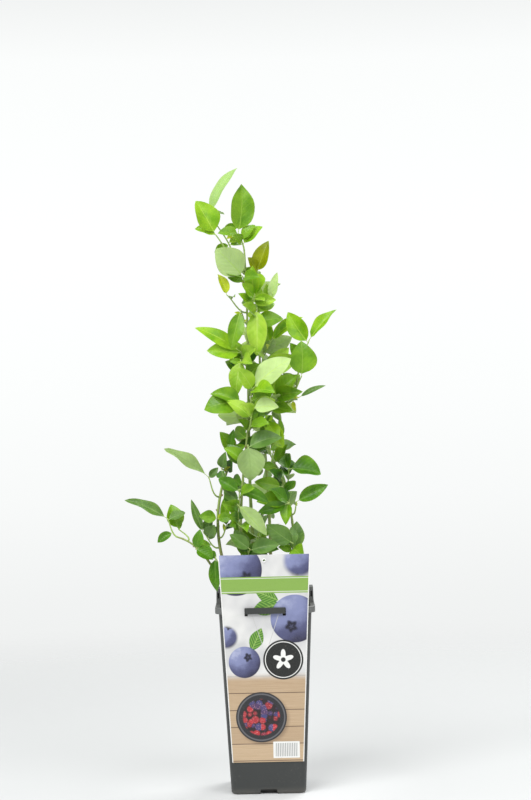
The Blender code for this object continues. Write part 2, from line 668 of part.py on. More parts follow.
def grow_plant():
    """Limbs, twigs and leaves: every twig first, then each twig's last leaf, then the rest."""
    limbs = limb_ends()
    space = fill_space(limbs)
    twigs = {}
    leaves = {name: [] for name in SPRIGS}
    for name, row in SPRIGS.items():
        ends = twig_ends(limbs, row)
        _, direction = root_of(limbs[row.limb], row.height, Vector(row.end) * MM)
        path = curve_path(ends, TWIG_STEPS)
        twigs[name] = (ends, tube(path, TWIG_FOOT_RADIUS, TWIG_TIP_RADIUS, TWIG_SIDES, direction))
        grown = (TWIG_FOOT_RADIUS + LEAF_CLEAR, TWIG_TIP_RADIUS + LEAF_CLEAR)
        space.add(name, tube(path, *grown, TWIG_SIDES))
    for number, (name, row) in enumerate(SPRIGS.items()):
        facing = facing_of(row, random.Random(number))
        leaf = (Vector(row.end) * MM, Vector(row.tip) * MM, facing, row.last_width)
        if space.is_free(name, leaf_solid(*leaf, LEAF_CLEAR)):
            leaves[name].append(leaf)
            space.add(name, leaf_solid(*leaf, LEAF_CLEAR))
    for order, (name, row) in enumerate(SPRIGS.items()):
        seed = random.Random(100 + order)
        for number in range(row.count):
            leaf = side_leaf(name, row, twigs[name][0], number, space, seed)
            if leaf:
                leaves[name].append(leaf)
                space.add(name, leaf_solid(*leaf, LEAF_CLEAR))
    return limbs, twigs, leaves


def join_sprig(name, twig, leaves):
    """Fuse a twig and its leaves into one solid."""
    parts = bpy.data.collections.new(name + "_parts")
    bpy.context.scene.collection.children.link(parts)
    sprig = add_object(name, *twig, "leaf")
    for number, (base, tip, facing, width) in enumerate(leaves):
        add_object(f"{name}_leaf_{number}", *leaf_solid(base, tip, facing, width), None, parts)
    step = sprig.modifiers.new("join", "BOOLEAN")
    step.operation = "UNION"
    step.solver = "EXACT"
    step.operand_type = "COLLECTION"
    step.collection = parts
    bpy.context.view_layer.update()
    view = bpy.context.evaluated_depsgraph_get()
    joined = bpy.data.meshes.new_from_object(sprig.evaluated_get(view))
    sprig.modifiers.clear()
    sprig.data = joined
    for item in list(parts.objects):
        bpy.data.objects.remove(item, do_unlink=True)
    bpy.data.collections.remove(parts)


def build():
    """Make the pot, the soil, the card and the whole plant."""
    clear_scene()
    make_pot()
    make_soil()
    make_card()
    limbs, twigs, leaves = grow_plant()
    for name, (ends, first, last, direction) in limbs.items():
        shape = tube(curve_path(ends, STEM_STEPS), first, last, STEM_SIDES, direction)
        stem = add_object(name, *shape, "bark")
        smooth(stem, 50)
    for name, (_, twig) in twigs.items():
        join_sprig(name, twig, leaves[name])


build()
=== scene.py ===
"""Looks of a young blueberry bush in a tall square pot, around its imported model.

Lengths are in metres, +Z is up and the front of the pot looks along -Y.
"""
import json
import math
import random
from collections import namedtuple

import bpy
import numpy as np
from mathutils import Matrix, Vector
from mathutils.bvhtree import BVHTree

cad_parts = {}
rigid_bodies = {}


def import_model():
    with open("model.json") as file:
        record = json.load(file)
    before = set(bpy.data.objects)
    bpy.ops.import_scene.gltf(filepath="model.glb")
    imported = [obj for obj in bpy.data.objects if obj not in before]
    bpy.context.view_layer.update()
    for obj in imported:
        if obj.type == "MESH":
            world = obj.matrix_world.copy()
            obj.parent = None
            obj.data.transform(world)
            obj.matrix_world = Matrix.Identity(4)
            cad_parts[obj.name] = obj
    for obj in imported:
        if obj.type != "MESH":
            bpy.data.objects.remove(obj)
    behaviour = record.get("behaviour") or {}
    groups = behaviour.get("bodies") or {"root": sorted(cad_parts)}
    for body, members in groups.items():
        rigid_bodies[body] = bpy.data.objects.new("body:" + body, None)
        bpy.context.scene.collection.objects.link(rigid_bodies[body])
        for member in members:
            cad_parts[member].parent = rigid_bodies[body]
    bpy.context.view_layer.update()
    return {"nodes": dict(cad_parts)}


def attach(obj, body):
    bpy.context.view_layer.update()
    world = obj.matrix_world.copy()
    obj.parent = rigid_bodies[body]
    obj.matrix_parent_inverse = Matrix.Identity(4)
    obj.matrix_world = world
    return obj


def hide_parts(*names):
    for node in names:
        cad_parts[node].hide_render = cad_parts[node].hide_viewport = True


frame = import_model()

MM = 0.001
GAP = 0.3 * MM
UP = Vector((0.0, 0.0, 1.0))

# Pot
BASE_WIDTH = 76.9 * MM
WALL_TOP_WIDTH = 94.9 * MM
RIM_WIDTH = 102.5 * MM
RIM_BOTTOM = 186.4 * MM
RIM_TOP = 192.9 * MM
WALL = 1.2 * MM
CORNER_RADIUS = 8.0 * MM
BASE_EDGE_RADIUS = 3.0 * MM
RIM_EDGE = 0.9 * MM
RIM_FILLET = 1.0 * MM
CORNER_STEPS = 8
EDGE_STEPS = 5
HOLE_SIDES = 20
PAST = 1.0 * MM
POT_BEVEL = 0.35 * MM
BEVEL_STEPS = 2
BEVEL_ANGLE = 50.0
FILLET_STEPS = 3
LIP_STEPS = 2
ROLL_STEPS = 4
OUTER_ROWS = (0.25, 0.5, 0.75)
INNER_ROWS = (0.98, 0.6, 0.3)
INNER_EDGE_SHARE = 0.2
CORNER_LEAST = 0.5 * MM
CORNER_GROWTH = 3.0 * MM

# Drain notches in the foot of each side
NOTCH_BOTTOM_WIDTH = 18.7 * MM
NOTCH_TOP_WIDTH = 16.2 * MM
NOTCH_HEIGHT = 5.0 * MM
NOTCH_DEPTH = 10.0 * MM
DRAIN_RADIUS = 2.5 * MM
DRAIN_INSET = 6.0 * MM

# Lugs that stand on the rim at the left and the right
LUG_FOOT_OUT = 50.6 * MM
LUG_TOP_OUT = 50.2 * MM
LUG_FOOT_THICKNESS = 4.6 * MM
LUG_TOP_THICKNESS = 4.0 * MM
LUG_TOP = 209.0 * MM
LUG_LENGTH = 24.0 * MM
LUG_POCKET_WIDTH = 2.0 * MM
LUG_POCKET_BOTTOM = 198.8 * MM
LUG_POCKET_TOP = 204.8 * MM
LUG_POCKET_DEPTH = 5.0 * MM

# Hanging card and the loop that holds it
CARD_BOTTOM = 33.5 * MM
CARD_TOP = 247.0 * MM
CARD_BOTTOM_WIDTH = 73.4 * MM
CARD_TOP_WIDTH = 93.5 * MM
CARD_THICKNESS = 0.6 * MM
CARD_HOLE_HEIGHT = 241.0 * MM
LOOP_WIDTH = 40.8 * MM
LOOP_BOTTOM = 186.6 * MM
LOOP_HEIGHT = 6.2 * MM
LOOP_BAR = 2.2 * MM
LOOP_WEB = 2.0 * MM
WEB_ABOVE_BAR_FOOT = 0.3 * MM
WEB_BELOW_BAR_TOP = 0.9 * MM
EYELET_RADIUS = 2.3 * MM
EYELET_ROUND = 0.55 * MM
EYELET_STEPS = 40
EYELET_SIDES = 12
EYELET_FLAT = 0.55
EYELET_OUT = 0.15 * MM

# Soil: lumps and crumbs on the top of the block
SOIL_TOP = 178.0 * MM
SOIL_LUMP = 2.2 * MM
SOIL_RINGS = 46
SOIL_CORNER_STEPS = 14
SOIL_WAVES = (9, 13, 17, 23, 31, 37, 53, 71, 97, 127, 170, 230)
SOIL_WAVE_LENGTH = 0.1
SOIL_FLAT = 0.25
SOIL_SEED = 11
SOIL_WAVE_FALL = 0.55
SOIL_WAVE_GAIN = 0.33
SOIL_EDGE_SLOPE = 14
SOIL_EDGE_LEAST = 0.12
CRUMB_COUNT = 1700
CRUMB_SIZES = (0.5 * MM, 1.6 * MM)
GRIT_COUNT = 70
GRIT_SIZES = (0.6 * MM, 1.3 * MM)
CRUMB_SEED = 3
GRIT_SEED = 4
CRUMB_STRETCH = (0.35, 1.0)
CRUMB_CORNERS = (0.75, 1.25)
CRUMB_CLEAR = 3.0 * MM

# Plant, with the values that the solids grow from
SOLID_CORNER_STEPS = 3
STEM_SIDES = 5
STEM_STEPS = 11
TWIG_SIDES = 3
TWIG_STEPS = 5
TWIG_FOOT_RADIUS = 0.9 * MM
TWIG_TIP_RADIUS = 0.55 * MM
TWIG_OUT = 0.35
TWIG_LEAN = 0.7
TWIG_RISE = 0.05
LEAF_THICKNESS = 0.6 * MM
LEAF_STATIONS = (0.3, 0.55, 0.82)
LEAF_EGG = 0.86
LEAF_FULL = 0.8
LEAF_ARCH = 0.16
LEAF_ROOT = 0.3 * MM
SIZE_JITTER = 0.15
FACE_UP = 0.45
FACE_JITTER = 0.35
HEADING_STEP = 0.01
HALVINGS = 30
SIDE_LEAF_SEED = 100
SIDE_LEAF_WIDTH = 0.58
LEAF_TURN = 144.0
LEAF_CLEAR = 0.45 * MM
RIM_CLEAR = 1.0 * MM
TURNS_ASIDE = (0, 18, -18, 36, -36, 54, -54)
FIRST_LEAF = 0.34
LAST_LEAF = 0.9

# Fine growth that the solids leave out
BARK_SIDES = 16
BARK_STEPS = 150
BARK_RIDGES = 0.05
BARK_LINES = 0.025
RIDGE_COUNT = 5
RIDGE_WIND = 9.0
LINE_COUNT = 9
LINE_WIND = 31.0
NODE_GAP = 17.0 * MM
NODE_LENGTH = 1.3 * MM
NODE_SWELLING = 0.35
NODE_RANGE = (0.05, 0.99)
SHOOT_SIDES = 8
SHOOT_STEPS = 14
PETIOLE_SHARE = 0.07
PETIOLE_RADIUS = 0.42 * MM
PETIOLE_STEPS = 6
PETIOLE_REACH = (-0.3, 1.6)
PETIOLE_TAPER = (1.25, 0.55)
BLADE_ROWS = 11
BLADE_COLUMNS = 7
BLADE_THICKNESS = 0.34 * MM
BLADE_FOLD = (0.18, 0.72)
BLADE_CURL = (-0.20, 0.04)
BLADE_BEND = (-0.08, 0.08)
BLADE_TWIST = (-0.45, 0.45)
BLADE_WAVE = (0.0, 0.035)
BLADE_WAVES = 1.7
BLADE_ROW_EASE = 0.92
BLADE_FOLD_POWER = 1.3
BLADE_NARROWING = 0.12
BLADE_STRAIGHT_AT = 0.3
YOUNG_LEAF = 9.0 * MM
YOUNG_SIZES = (0.7, 1.4)
YOUNG_WIDTH = 0.42
YOUNG_TRIES = 2
INNER_SEED = 500
INNER_LEAF = 21.0 * MM
INNER_SIZES = (0.6, 1.3)
INNER_TRIES = 26
INNER_PLACES = (0.30, 0.96)
LIMB_LEAF_SEED = 900
LIMB_FRONT = 5.0
LIMB_LEAF_COUNT = 24
LIMB_LEAF_SIZES = (0.65, 1.35)
LIMB_LEAF_SPREAD = 64
LIMB_LEAF_FROM = 300.0
LIMB_LEAF_TO = 540.0
SHADED_HEIGHTS = (380.0, 560.0)
SHADED_SHARES = (0.30, 0.0)
FINE_CLEAR = 0.1 * MM
CROWN_MIDDLE = -6.0
CROWN_HEIGHTS = (200, 260, 420, 480, 560, 600)
CROWN_REACH = (40, 46, 44, 36, 22, 12)
CROWN_DEPTH = 66.0
MARGIN_ANGLE = 70.0
BUD_LENGTH = 2.6 * MM
BUD_RADIUS = 0.75 * MM
BUD_STEPS = 7
BUD_SIZES = (0.7, 1.2)
BUD_ALONG = 0.85
BUD_OUT = 0.55
BUD_RUN = 0.30
BUD_BARE = 0.12
BUD_LAST = 0.96
BUD_RANGE = (0.02, 0.98)
BUD_EGG = 0.7
BUD_FULL = 0.8
BUD_SUNK = 0.9
SHOOT_NODES = 4
SHOOT_SWELLING = 0.12
ROOT_ROUND = 0.3
TIP_ROUND = 0.6
STRAIGHT_BELOW = 0.2

# Stems: foot, low pull and high pull of the curve, tip (all in mm), foot and tip radius in mm
STEMS = {
    "stem_left": ((-16, -8), (-70, -20, 260), (-50, -12, 345), (13, 5, 400), 1.8, 1.0),
    "stem_center": ((-3, 6), (-22, 12, 290), (-8, 12, 440), (-14, 2, 560), 2.1, 0.9),
    "stem_front": ((-9, -13), (-36, -34, 250), (-18, -30, 330), (-10, -20, 408), 1.8, 0.9),
    "stem_right": ((12, -4), (42, -14, 240), (32, -10, 300), (12, 0, 340), 1.7, 0.9),
    "stem_back": ((3, 17), (16, 46, 260), (-8, 38, 420), (2, 14, 537), 1.9, 0.9),
    "stem_low_left": ((-22, -22), (-46, -40, 215), (-56, -32, 255), (-88, -24, 264), 1.6, 0.9),
}

# Boughs: the limb that bears them, height on it, low pull, high pull, tip (mm)
BOUGHS = {
    "bough_top_left": ("stem_center", 536, (-20, 0, 543), (-28, -1, 552), (-33, -2, 561)),
    "bough_right": ("stem_left", 392, (24, 6, 396), (37, 7, 405), (39, 6, 426)),
}
BOUGH_FOOT_RADIUS = 1.1 * MM
BOUGH_TIP_RADIUS = 0.9 * MM

# Sprigs, each one mass of leaves on a twig. Lengths and places are in mm, angles in degrees.
# A height of None roots the twig on its limb's tip. Facing tells which way the leaves look,
# and a side leaf's turn counts from that way about the twig.
FRONT = 0
LEFT = 75
BACK = 180
RIGHT = 285
SPRIG_VALUES = "limb height end tip last_width count length turn spread facing"
Sprig = namedtuple("Sprig", SPRIG_VALUES, defaults=[FRONT])
SPRIG_ROWS = {
    "crown_left": ("bough_top_left", None, (-44, -4, 578), (-63, -8, 613), 0.74, 1, 26, 270, 30),
    "crown_tip": ("bough_top_left", 555, (-50, 6, 600), (-22, 2, 649), 0.27, 2, 18, 126, 95),
    "crown_top": ("stem_center", None, (-20, 0, 579), (-15, -3, 630), 0.58, 2, 27, 306, 62),
    "crown_low": ("stem_center", 524, (-16, -10, 533), (-43, -16, 562), 0.82, 2, 22, 250, 60),
    "crown_right": ("stem_back", None, (-1, 6, 538), (10, -2, 570), 0.56, 2, 20, 60, 50),
    "upper_left": ("stem_center", 496, (-33, -10, 514), (-41, -13, 536), 0.50, 0, 14, 90, 60),
    "upper_drop": ("stem_center", 484, (-19, -14, 498), (-29, -20, 458), 0.42, 0, 26, 270, 60),
    "upper_right": ("stem_back", 488, (13, 8, 508), (19, 2, 537), 0.36, 0, 24, 250, 50),
    "upper_mid": ("stem_center", 502, (-4, -4, 512), (-6, -8, 544), 0.50, 3, 28, 300, 60),
    "upper_hang": ("stem_center", 480, (-2, -6, 500), (-3, -12, 450), 0.46, 3, 30, 180, 60),
    "mid_left": ("stem_center", 440, (-20, -4, 455), (-66, -12, 482), 0.34, 3, 32, 270, 60),
    "mid_drop": ("stem_center", 428, (-20, -14, 446), (-26, -22, 410), 0.50, 2, 26, 60, 60),
    "mid_low_left": ("stem_front", 380, (-20, -28, 403), (-58, -34, 399), 0.80, 1, 34, 270, 60),
    "mid_center": ("stem_front", None, (-8, -26, 416), (32, -34, 446), 0.58, 3, 36, 270, 40),
    "mid_front": ("stem_front", 372, (-8, -36, 396), (18, -40, 398), 0.75, 3, 30, 120, 60),
    "mid_right": ("stem_center", 416, (5, 10, 440), (31, 8, 458), 0.58, 5, 36, 330, 50, RIGHT),
    "mid_right_low": ("stem_left", None, (15, 2, 408), (38, -2, 430), 0.62, 3, 30, 60, 60),
    "right": ("bough_right", None, (52, 5, 466), (80, 0, 498), 0.36, 1, 42, 270, 55),
    "right_inner": ("stem_back", 450, (12, 16, 466), (44, 10, 492), 0.36, 1, 28, 250, 50),
    "right_front": ("bough_right", 414, (43, -6, 428), (44, -12, 464), 0.85, 0, 24, 90, 40),
    "right_low": ("bough_right", 401, (40, -6, 406), (67, -10, 419), 0.22, 1, 22, 270, 100),
    "center_low": ("stem_left", 376, (6, -14, 382), (22, -20, 354), 0.60, 5, 32, 60, 60),
    "center_deep": ("stem_right", None, (4, 2, 358), (9, -6, 386), 0.58, 5, 34, 0, 60, RIGHT),
    "center_high": ("stem_center", 376, (-2, -4, 392), (2, -10, 428), 0.55, 5, 34, 120, 60, LEFT),
    "front_mid": ("stem_front", 330, (-14, -38, 358), (-11, -44, 322), 0.84, 2, 32, 90, 60),
    "low_right": ("stem_right", 314, (28, -10, 332), (61, -14, 327), 0.80, 2, 26, 200, 60),
    "low_right_side": ("stem_right", 284, (35, -14, 298), (68, -18, 315), 0.44, 0, 22, 250, 60),
    "left": ("stem_left", 304, (-56, -20, 326), (-101, -30, 356), 0.29, 1, 17, 90, 60),
    "left_hang": ("stem_left", 330, (-42, -22, 334), (-35, -26, 302), 0.25, 1, 18, 90, 50),
    "left_high": ("stem_left", 342, (-33, -16, 353), (-29, -20, 374), 0.42, 0, 18, 90, 50),
    "left_low": ("stem_left", 252, (-62, -20, 268), (-74, -22, 303), 0.26, 2, 20, 90, 60),
    "left_side": ("stem_left", 278, (-47, -26, 283), (-66, -30, 286), 0.70, 1, 20, 90, 60),
    "left_up": ("stem_left", 262, (-38, -22, 274), (-40, -26, 304), 0.36, 1, 24, 60, 50),
    "branch_tip": ("stem_low_left", None, (-99, -26, 284), (-140, -32, 307), 0.30, 2, 20, 126, 95),
    "branch_top": ("stem_low_left", 260, (-88, -16, 272), (-95, -16, 298), 0.74, 1, 13, 90, 50),
    "branch_mid": ("stem_low_left", 246, (-70, -38, 253), (-52, -42, 242), 0.85, 1, 20, 90, 60),
    "branch_low": ("stem_low_left", 214, (-50, -38, 244), (-49, -42, 209), 0.40, 1, 16, 200, 50),
    "front_low": ("stem_front", 288, (-24, -40, 313), (6, -46, 301), 0.42, 4, 30, 250, 60),
    "front_drop": ("stem_front", 270, (-26, -48, 298), (4, -54, 267), 0.40, 3, 32, 90, 60),
    "front_right": ("stem_right", 296, (26, -26, 297), (-6, -32, 288), 0.42, 2, 32, 90, 60),
    "front_high": ("stem_right", 306, (20, -20, 314), (-8, -26, 320), 0.52, 2, 24, 90, 60),
    "base_right": ("stem_right", 244, (30, -32, 256), (4, -40, 276), 0.62, 3, 30, 240, 60),
    "base_left": ("stem_front", 236, (-14, -46, 252), (-34, -48, 268), 0.60, 4, 30, 90, 60),
    "base_mid": ("stem_center", 246, (-4, -6, 262), (2, -10, 294), 0.55, 5, 34, 30, 60, LEFT),
    "back_low": ("stem_back", 232, (-10, 52, 252), (-28, 58, 272), 0.52, 5, 34, 60, 55, 150),
    "back_side": ("stem_back", 330, (14, 56, 356), (10, 62, 388), 0.50, 5, 30, 200, 55, 240),
    "back_right": ("stem_back", 282, (14, 58, 298), (22, 62, 324), 0.52, 5, 32, 200, 55, 210),
    "back_left": ("stem_back", 372, (-14, 46, 386), (-28, 50, 408), 0.52, 5, 34, 60, 55, 120),
    "back_high": ("stem_back", 440, (4, 40, 458), (10, 46, 490), 0.50, 5, 34, 120, 55, BACK),
}
SPRIGS = {"sprig_" + name: Sprig(*row) for name, row in SPRIG_ROWS.items()}

# Colours, linear
GREY_PLASTIC = (0.037, 0.040, 0.039)
# Grey of scuffs, and also painted light: the pot's wall is mixed towards it upwards, paler towards the rim
PLASTIC_WEAR_AND_LIGHT = (0.080, 0.084, 0.083)
# Painted sheen: paler grey that the rim and lugs are mixed towards at the sides
PLASTIC_SIDE_SHEEN = (0.190, 0.197, 0.194)
DUST = (0.30, 0.27, 0.22)
PEAT_DARK = (0.018, 0.011, 0.007)
PEAT_LIGHT = (0.095, 0.055, 0.030)
GRIT_WHITE = (0.62, 0.60, 0.55)
GRIT_GREY = (0.45, 0.43, 0.38)
PAPER = (0.80, 0.80, 0.78)
EYELET_WORN = (0.60, 0.60, 0.58)
LENTICEL = (0.50, 0.46, 0.30)
BARK_GREEN = (0.30, 0.42, 0.10)
BARK_BROWN = (0.20, 0.135, 0.065)
SHOOT_GREEN = (0.36, 0.52, 0.12)
SHOOT_PALE = (0.50, 0.64, 0.22)
BUD_RED = (0.33, 0.20, 0.075)

# Finishes: roughness of the plastics, cells a metre, and where the brown of the foot ends
POT_ROUGH = 0.42
EYELET_ROUGH = 0.30
PEAT_CELLS = 520.0
GRIT_CELLS = 900.0
STEM_GREEN_FROM = 300.0 * MM
SHOOT_GREEN_FROM = 200.0 * MM

# Leaf skin: shares of the ribs' colour, roughness and relief of each side, and the shader's plain numbers
RIB_TINT = 0.14
MIDRIB_TINT = 0.60
UPPER_ROUGH_RELIEF = (0.36, 0.32)
UNDER_ROUGH_RELIEF = (0.58, 0.42)
LEAF_SKIN = {
    "Specular IOR Level": 0.32,
    "Subsurface Weight": 0.12,
    "Subsurface Radius": (0.8, 1.0, 0.25),
    "Subsurface Scale": 1.2 * MM,
}

# Leaf colours: name, upper side, its darker tone, under side, ribs
LEAF_COLOURS = {
    "bright": ((0.270, 0.490, 0.014), (0.145, 0.340, 0.006), (0.50, 0.68, 0.22), (0.44, 0.62, 0.07)),
    "fresh": ((0.370, 0.580, 0.050), (0.240, 0.450, 0.025), (0.48, 0.66, 0.24), (0.50, 0.68, 0.14)),
    "middle": ((0.185, 0.370, 0.014), (0.100, 0.250, 0.006), (0.34, 0.48, 0.17), (0.30, 0.48, 0.06)),
    "deep": ((0.088, 0.240, 0.008), (0.045, 0.148, 0.004), (0.26, 0.42, 0.14), (0.17, 0.33, 0.04)),
    "cool": ((0.125, 0.245, 0.046), (0.076, 0.170, 0.028), (0.27, 0.40, 0.13), (0.22, 0.35, 0.09)),
    "young": ((0.500, 0.590, 0.030), (0.370, 0.470, 0.018), (0.58, 0.69, 0.12), (0.58, 0.67, 0.10)),
    "olive": ((0.270, 0.320, 0.003), (0.160, 0.205, 0.002), (0.34, 0.42, 0.04), (0.38, 0.45, 0.04)),
    "shade": ((0.055, 0.180, 0.009), (0.030, 0.112, 0.005), (0.19, 0.35, 0.11), (0.12, 0.26, 0.03)),
    "pale": ((0.260, 0.410, 0.110), (0.190, 0.330, 0.070), (0.36, 0.56, 0.17), (0.35, 0.53, 0.13)),
}


def curve_point(ends, share):
    """Point of the cubic curve through two ends with two pulls."""
    rest = 1.0 - share
    weights = (rest ** 3, 3 * rest * rest * share, 3 * rest * share * share, share ** 3)
    total = Vector((0.0, 0.0, 0.0))
    for weight, point in zip(weights, ends):
        total += weight * point
    return total


def loft(rings):
    """Points and faces of a solid skinned over equal rings, with flat ends."""
    count = len(rings[0])
    points = [point for ring in rings for point in ring]
    faces = [tuple(range(count))[::-1]]
    for row in range(len(rings) - 1):
        for side in range(count):
            other = (side + 1) % count
            low = row * count
            high = low + count
            faces.append((low + side, low + other, high + other, high + side))
    faces.append(tuple(range(len(points) - count, len(points))))
    return points, faces


def prism(outline, start, end):
    """Points and faces of a solid that joins an outline at two places."""
    rings = [[tuple(Vector(point) + Vector(shift)) for point in outline] for shift in (start, end)]
    return loft(rings)


def box(low, high):
    """Points and faces of a box between two corners."""
    outline = [(low[0], low[1], 0), (high[0], low[1], 0), (high[0], high[1], 0), (low[0], high[1], 0)]
    return prism(outline, (0, 0, low[2]), (0, 0, high[2]))


def wall_half(height):
    """Half the outer width of the pot's wall at one height."""
    share = height / RIM_BOTTOM
    return 0.5 * (BASE_WIDTH + (WALL_TOP_WIDTH - BASE_WIDTH) * share)


def card_front(height):
    """Y of the card's front face: it leans from the wall's foot out over the rim."""
    low = -wall_half(CARD_BOTTOM) - GAP
    high = -0.5 * RIM_WIDTH - GAP
    share = (height - CARD_BOTTOM) / (RIM_BOTTOM - CARD_BOTTOM)
    return low + (high - low) * share - CARD_THICKNESS


def curve_path(ends, steps):
    """Evenly numbered points along a limb."""
    return [curve_point(ends, step / steps) for step in range(steps + 1)]


def at_height(ends, height):
    """Share along a rising limb where it reaches a height."""
    low, high = 0.0, 1.0
    for _ in range(HALVINGS):
        middle = 0.5 * (low + high)
        if curve_point(ends, middle).z < height:
            low = middle
        else:
            high = middle
    return low


def heading(ends, share):
    """Direction of growth at a share along a limb."""
    start = max(share - HEADING_STEP, 0.0)
    end = min(share + HEADING_STEP, 1.0)
    return (curve_point(ends, end) - curve_point(ends, start)).normalized()


def tube(path, first_radius, last_radius, sides, first_direction=None):
    """Points and faces of a tapering limb with flat ends, its rings carried without twist."""
    rings = []
    across = None
    for index, point in enumerate(path):
        before = path[max(index - 1, 0)]
        after = path[min(index + 1, len(path) - 1)]
        direction = (after - before).normalized()
        if index == 0 and first_direction:
            direction = first_direction
        if across is None:
            across = Vector((1.0, 0.0, 0.0)) if abs(direction.x) < 0.8 else Vector((0.0, 1.0, 0.0))
        across = (across - across.dot(direction) * direction).normalized()
        other = direction.cross(across)
        share = index / (len(path) - 1)
        radius = first_radius + (last_radius - first_radius) * share
        ring = []
        for side in range(sides):
            angle = 2 * math.pi * side / sides
            ring.append(point + radius * (math.cos(angle) * across + math.sin(angle) * other))
        rings.append(ring)
    return loft(rings)


def leaf_frame(base, tip, facing):
    """Length, direction, sideways and upper normal of a leaf."""
    along = tip - base
    length = along.length
    along = along / length
    side = along.cross(facing)
    if side.length < 0.05:
        side = along.cross(UP)
    side = side.normalized()
    return length, along, side, side.cross(along)


def leaf_solid(base, tip, facing, width_share, grow=0.0):
    """Points and faces of a thin arched plate, its root sunk in the twig."""
    length, along, side, normal = leaf_frame(base, tip, facing)
    thick = normal * (0.5 * LEAF_THICKNESS + grow)
    rows = [[base - along * LEAF_ROOT]]
    for share in LEAF_STATIONS:
        half = half_width(share) * width_share * length + grow
        middle = base + along * share * length + normal * LEAF_ARCH * length * (share - share * share)
        rows.append([middle - side * half, middle + side * half])
    rows.append([tip + along * grow])
    points = []
    for row in rows:
        for place in row:
            points.append(place + thick)
            points.append(place - thick)
    return points, leaf_faces(rows)


def leaf_faces(rows):
    """Faces of a plate whose rows hold one point at each end and two between."""
    index = []
    number = 0
    for row in rows:
        index.append([number + 2 * step for step in range(len(row))])
        number += 2 * len(row)
    faces = []
    for low, high in zip(index, index[1:]):
        cell = low + high[::-1]
        faces.append(tuple(cell))
        faces.append(tuple(corner + 1 for corner in cell[::-1]))
        for first, second in ((high[0], low[0]), (low[-1], high[-1])):
            faces.append((first, second, second + 1, first + 1))
    return faces


class Space:
    """What already stands in the plant's space, each shape with the name of its owner."""

    def __init__(self):
        self.solids = []

    def tree(self, shape):
        """Search tree of a shape's points and faces."""
        points, faces = shape
        return BVHTree.FromPolygons([Vector(point) for point in points], faces)

    def add(self, owner, shape):
        """Let a shape take its place."""
        self.solids.append((owner, self.tree(shape)))

    def is_free(self, owner, shape):
        """Tell whether a shape touches nothing but its owner's own pieces."""
        tree = self.tree(shape)
        return not any(name != owner and tree.overlap(other) for name, other in self.solids)


def limb_ends():
    """Curve, foot and tip radius and first direction of every stem and bough, in metres."""
    limbs = {}
    for name, (foot, low, high, tip, first, last) in STEMS.items():
        start = Vector((foot[0] * MM, foot[1] * MM, SOIL_TOP + GAP))
        ends = [start] + [Vector(point) * MM for point in (low, high, tip)]
        limbs[name] = (ends, first * MM, last * MM, UP)
    for name, (parent, height, low, high, tip) in BOUGHS.items():
        pulls = [Vector(point) * MM for point in (low, high, tip)]
        start, out = root_of(limbs[parent], height, pulls[0])
        limbs[name] = ([start] + pulls, BOUGH_FOOT_RADIUS, BOUGH_TIP_RADIUS, out)
    return limbs


def root_of(limb, height, target):
    """Start and first direction of a side limb, just clear of the limb that bears it."""
    ends, first, last, _ = limb
    if height is None:
        direction = heading(ends, 1.0)
        return ends[3] + direction * GAP, direction
    share = at_height(ends, height * MM)
    place = curve_point(ends, share)
    radius = first + (last - first) * share
    growth = heading(ends, share)
    out = target - place
    out = (out - out.dot(growth) * growth).normalized()
    return place + out * (radius + GAP), out


def twig_ends(limbs, row):
    """Curve of a sprig's twig: it leaves its limb squarely and bends to its end."""
    end = Vector(row.end) * MM
    start, direction = root_of(limbs[row.limb], row.height, end)
    span = (end - start).length
    rise = UP * TWIG_RISE * span
    return [start, start + direction * TWIG_OUT * span, start.lerp(end, TWIG_LEAN) + rise, end]


def facing_of(row, seed):
    """Way the upper sides of a sprig's leaves look, up and out."""
    angle = math.radians(row.facing)
    out = Vector((-math.sin(angle), -math.cos(angle), 0.0))
    jitter = Vector([seed.uniform(-FACE_JITTER, FACE_JITTER) for _ in range(3)])
    return (FACE_UP * UP + out + jitter).normalized()


def leaf_tip(ends, share, turn, length, row):
    """Foot and tip of a side leaf from its place on the twig and its turn about it."""
    base = curve_point(ends, share)
    growth = heading(ends, share)
    angle = math.radians(row.facing)
    front = Vector((-math.sin(angle), -math.cos(angle), 0.0))
    first = (front - front.dot(growth) * growth).normalized()
    second = growth.cross(first)
    around = math.radians(turn)
    out = math.cos(around) * first + math.sin(around) * second
    spread = math.radians(row.spread)
    direction = math.cos(spread) * growth + math.sin(spread) * out
    return base, base + direction * length


def fill_space(limbs):
    """Space with the stems, the boughs, the card, the rim and the lugs in it."""
    space = Space()
    for name, (ends, first, last, _) in limbs.items():
        path = curve_path(ends, STEM_STEPS)
        space.add(name, tube(path, first + LEAF_CLEAR, last + LEAF_CLEAR, STEM_SIDES))
    card = bpy.data.objects["label_card"].data
    space.add("label_card", ([v.co for v in card.vertices], [tuple(p.vertices) for p in card.polygons]))
    half = 0.5 * RIM_WIDTH + RIM_CLEAR
    rim = [(half, CORNER_RADIUS, height) for height in (RIM_BOTTOM, RIM_TOP + RIM_CLEAR)]
    space.add("pot", loft_squares(rim, SOLID_CORNER_STEPS))
    half = 0.5 * LUG_LENGTH + RIM_CLEAR
    for side in (-1, 1):
        inner = side * (LUG_TOP_OUT - LUG_FOOT_THICKNESS - RIM_CLEAR)
        near = sorted((inner, side * (LUG_FOOT_OUT + RIM_CLEAR)))
        space.add("pot", box((near[0], -half, RIM_TOP), (near[1], half, LUG_TOP + RIM_CLEAR)))
    return space


def side_leaf(name, row, ends, number, space, seed):
    """One leaf of the spiral on a twig, turned aside or left out where it would touch."""
    steps = max(row.count - 1, 1)
    share = LAST_LEAF - (LAST_LEAF - FIRST_LEAF) * number / steps
    size = row.length * MM * seed.uniform(1 - SIZE_JITTER, 1 + SIZE_JITTER)
    facing = facing_of(row, seed)
    for change in TURNS_ASIDE:
        turn = row.turn + LEAF_TURN * number + change
        base, tip = leaf_tip(ends, share, turn, size, row)
        leaf = (base, tip, facing, SIDE_LEAF_WIDTH)
        if space.is_free(name, leaf_solid(*leaf, LEAF_CLEAR)):
            return leaf
    return None


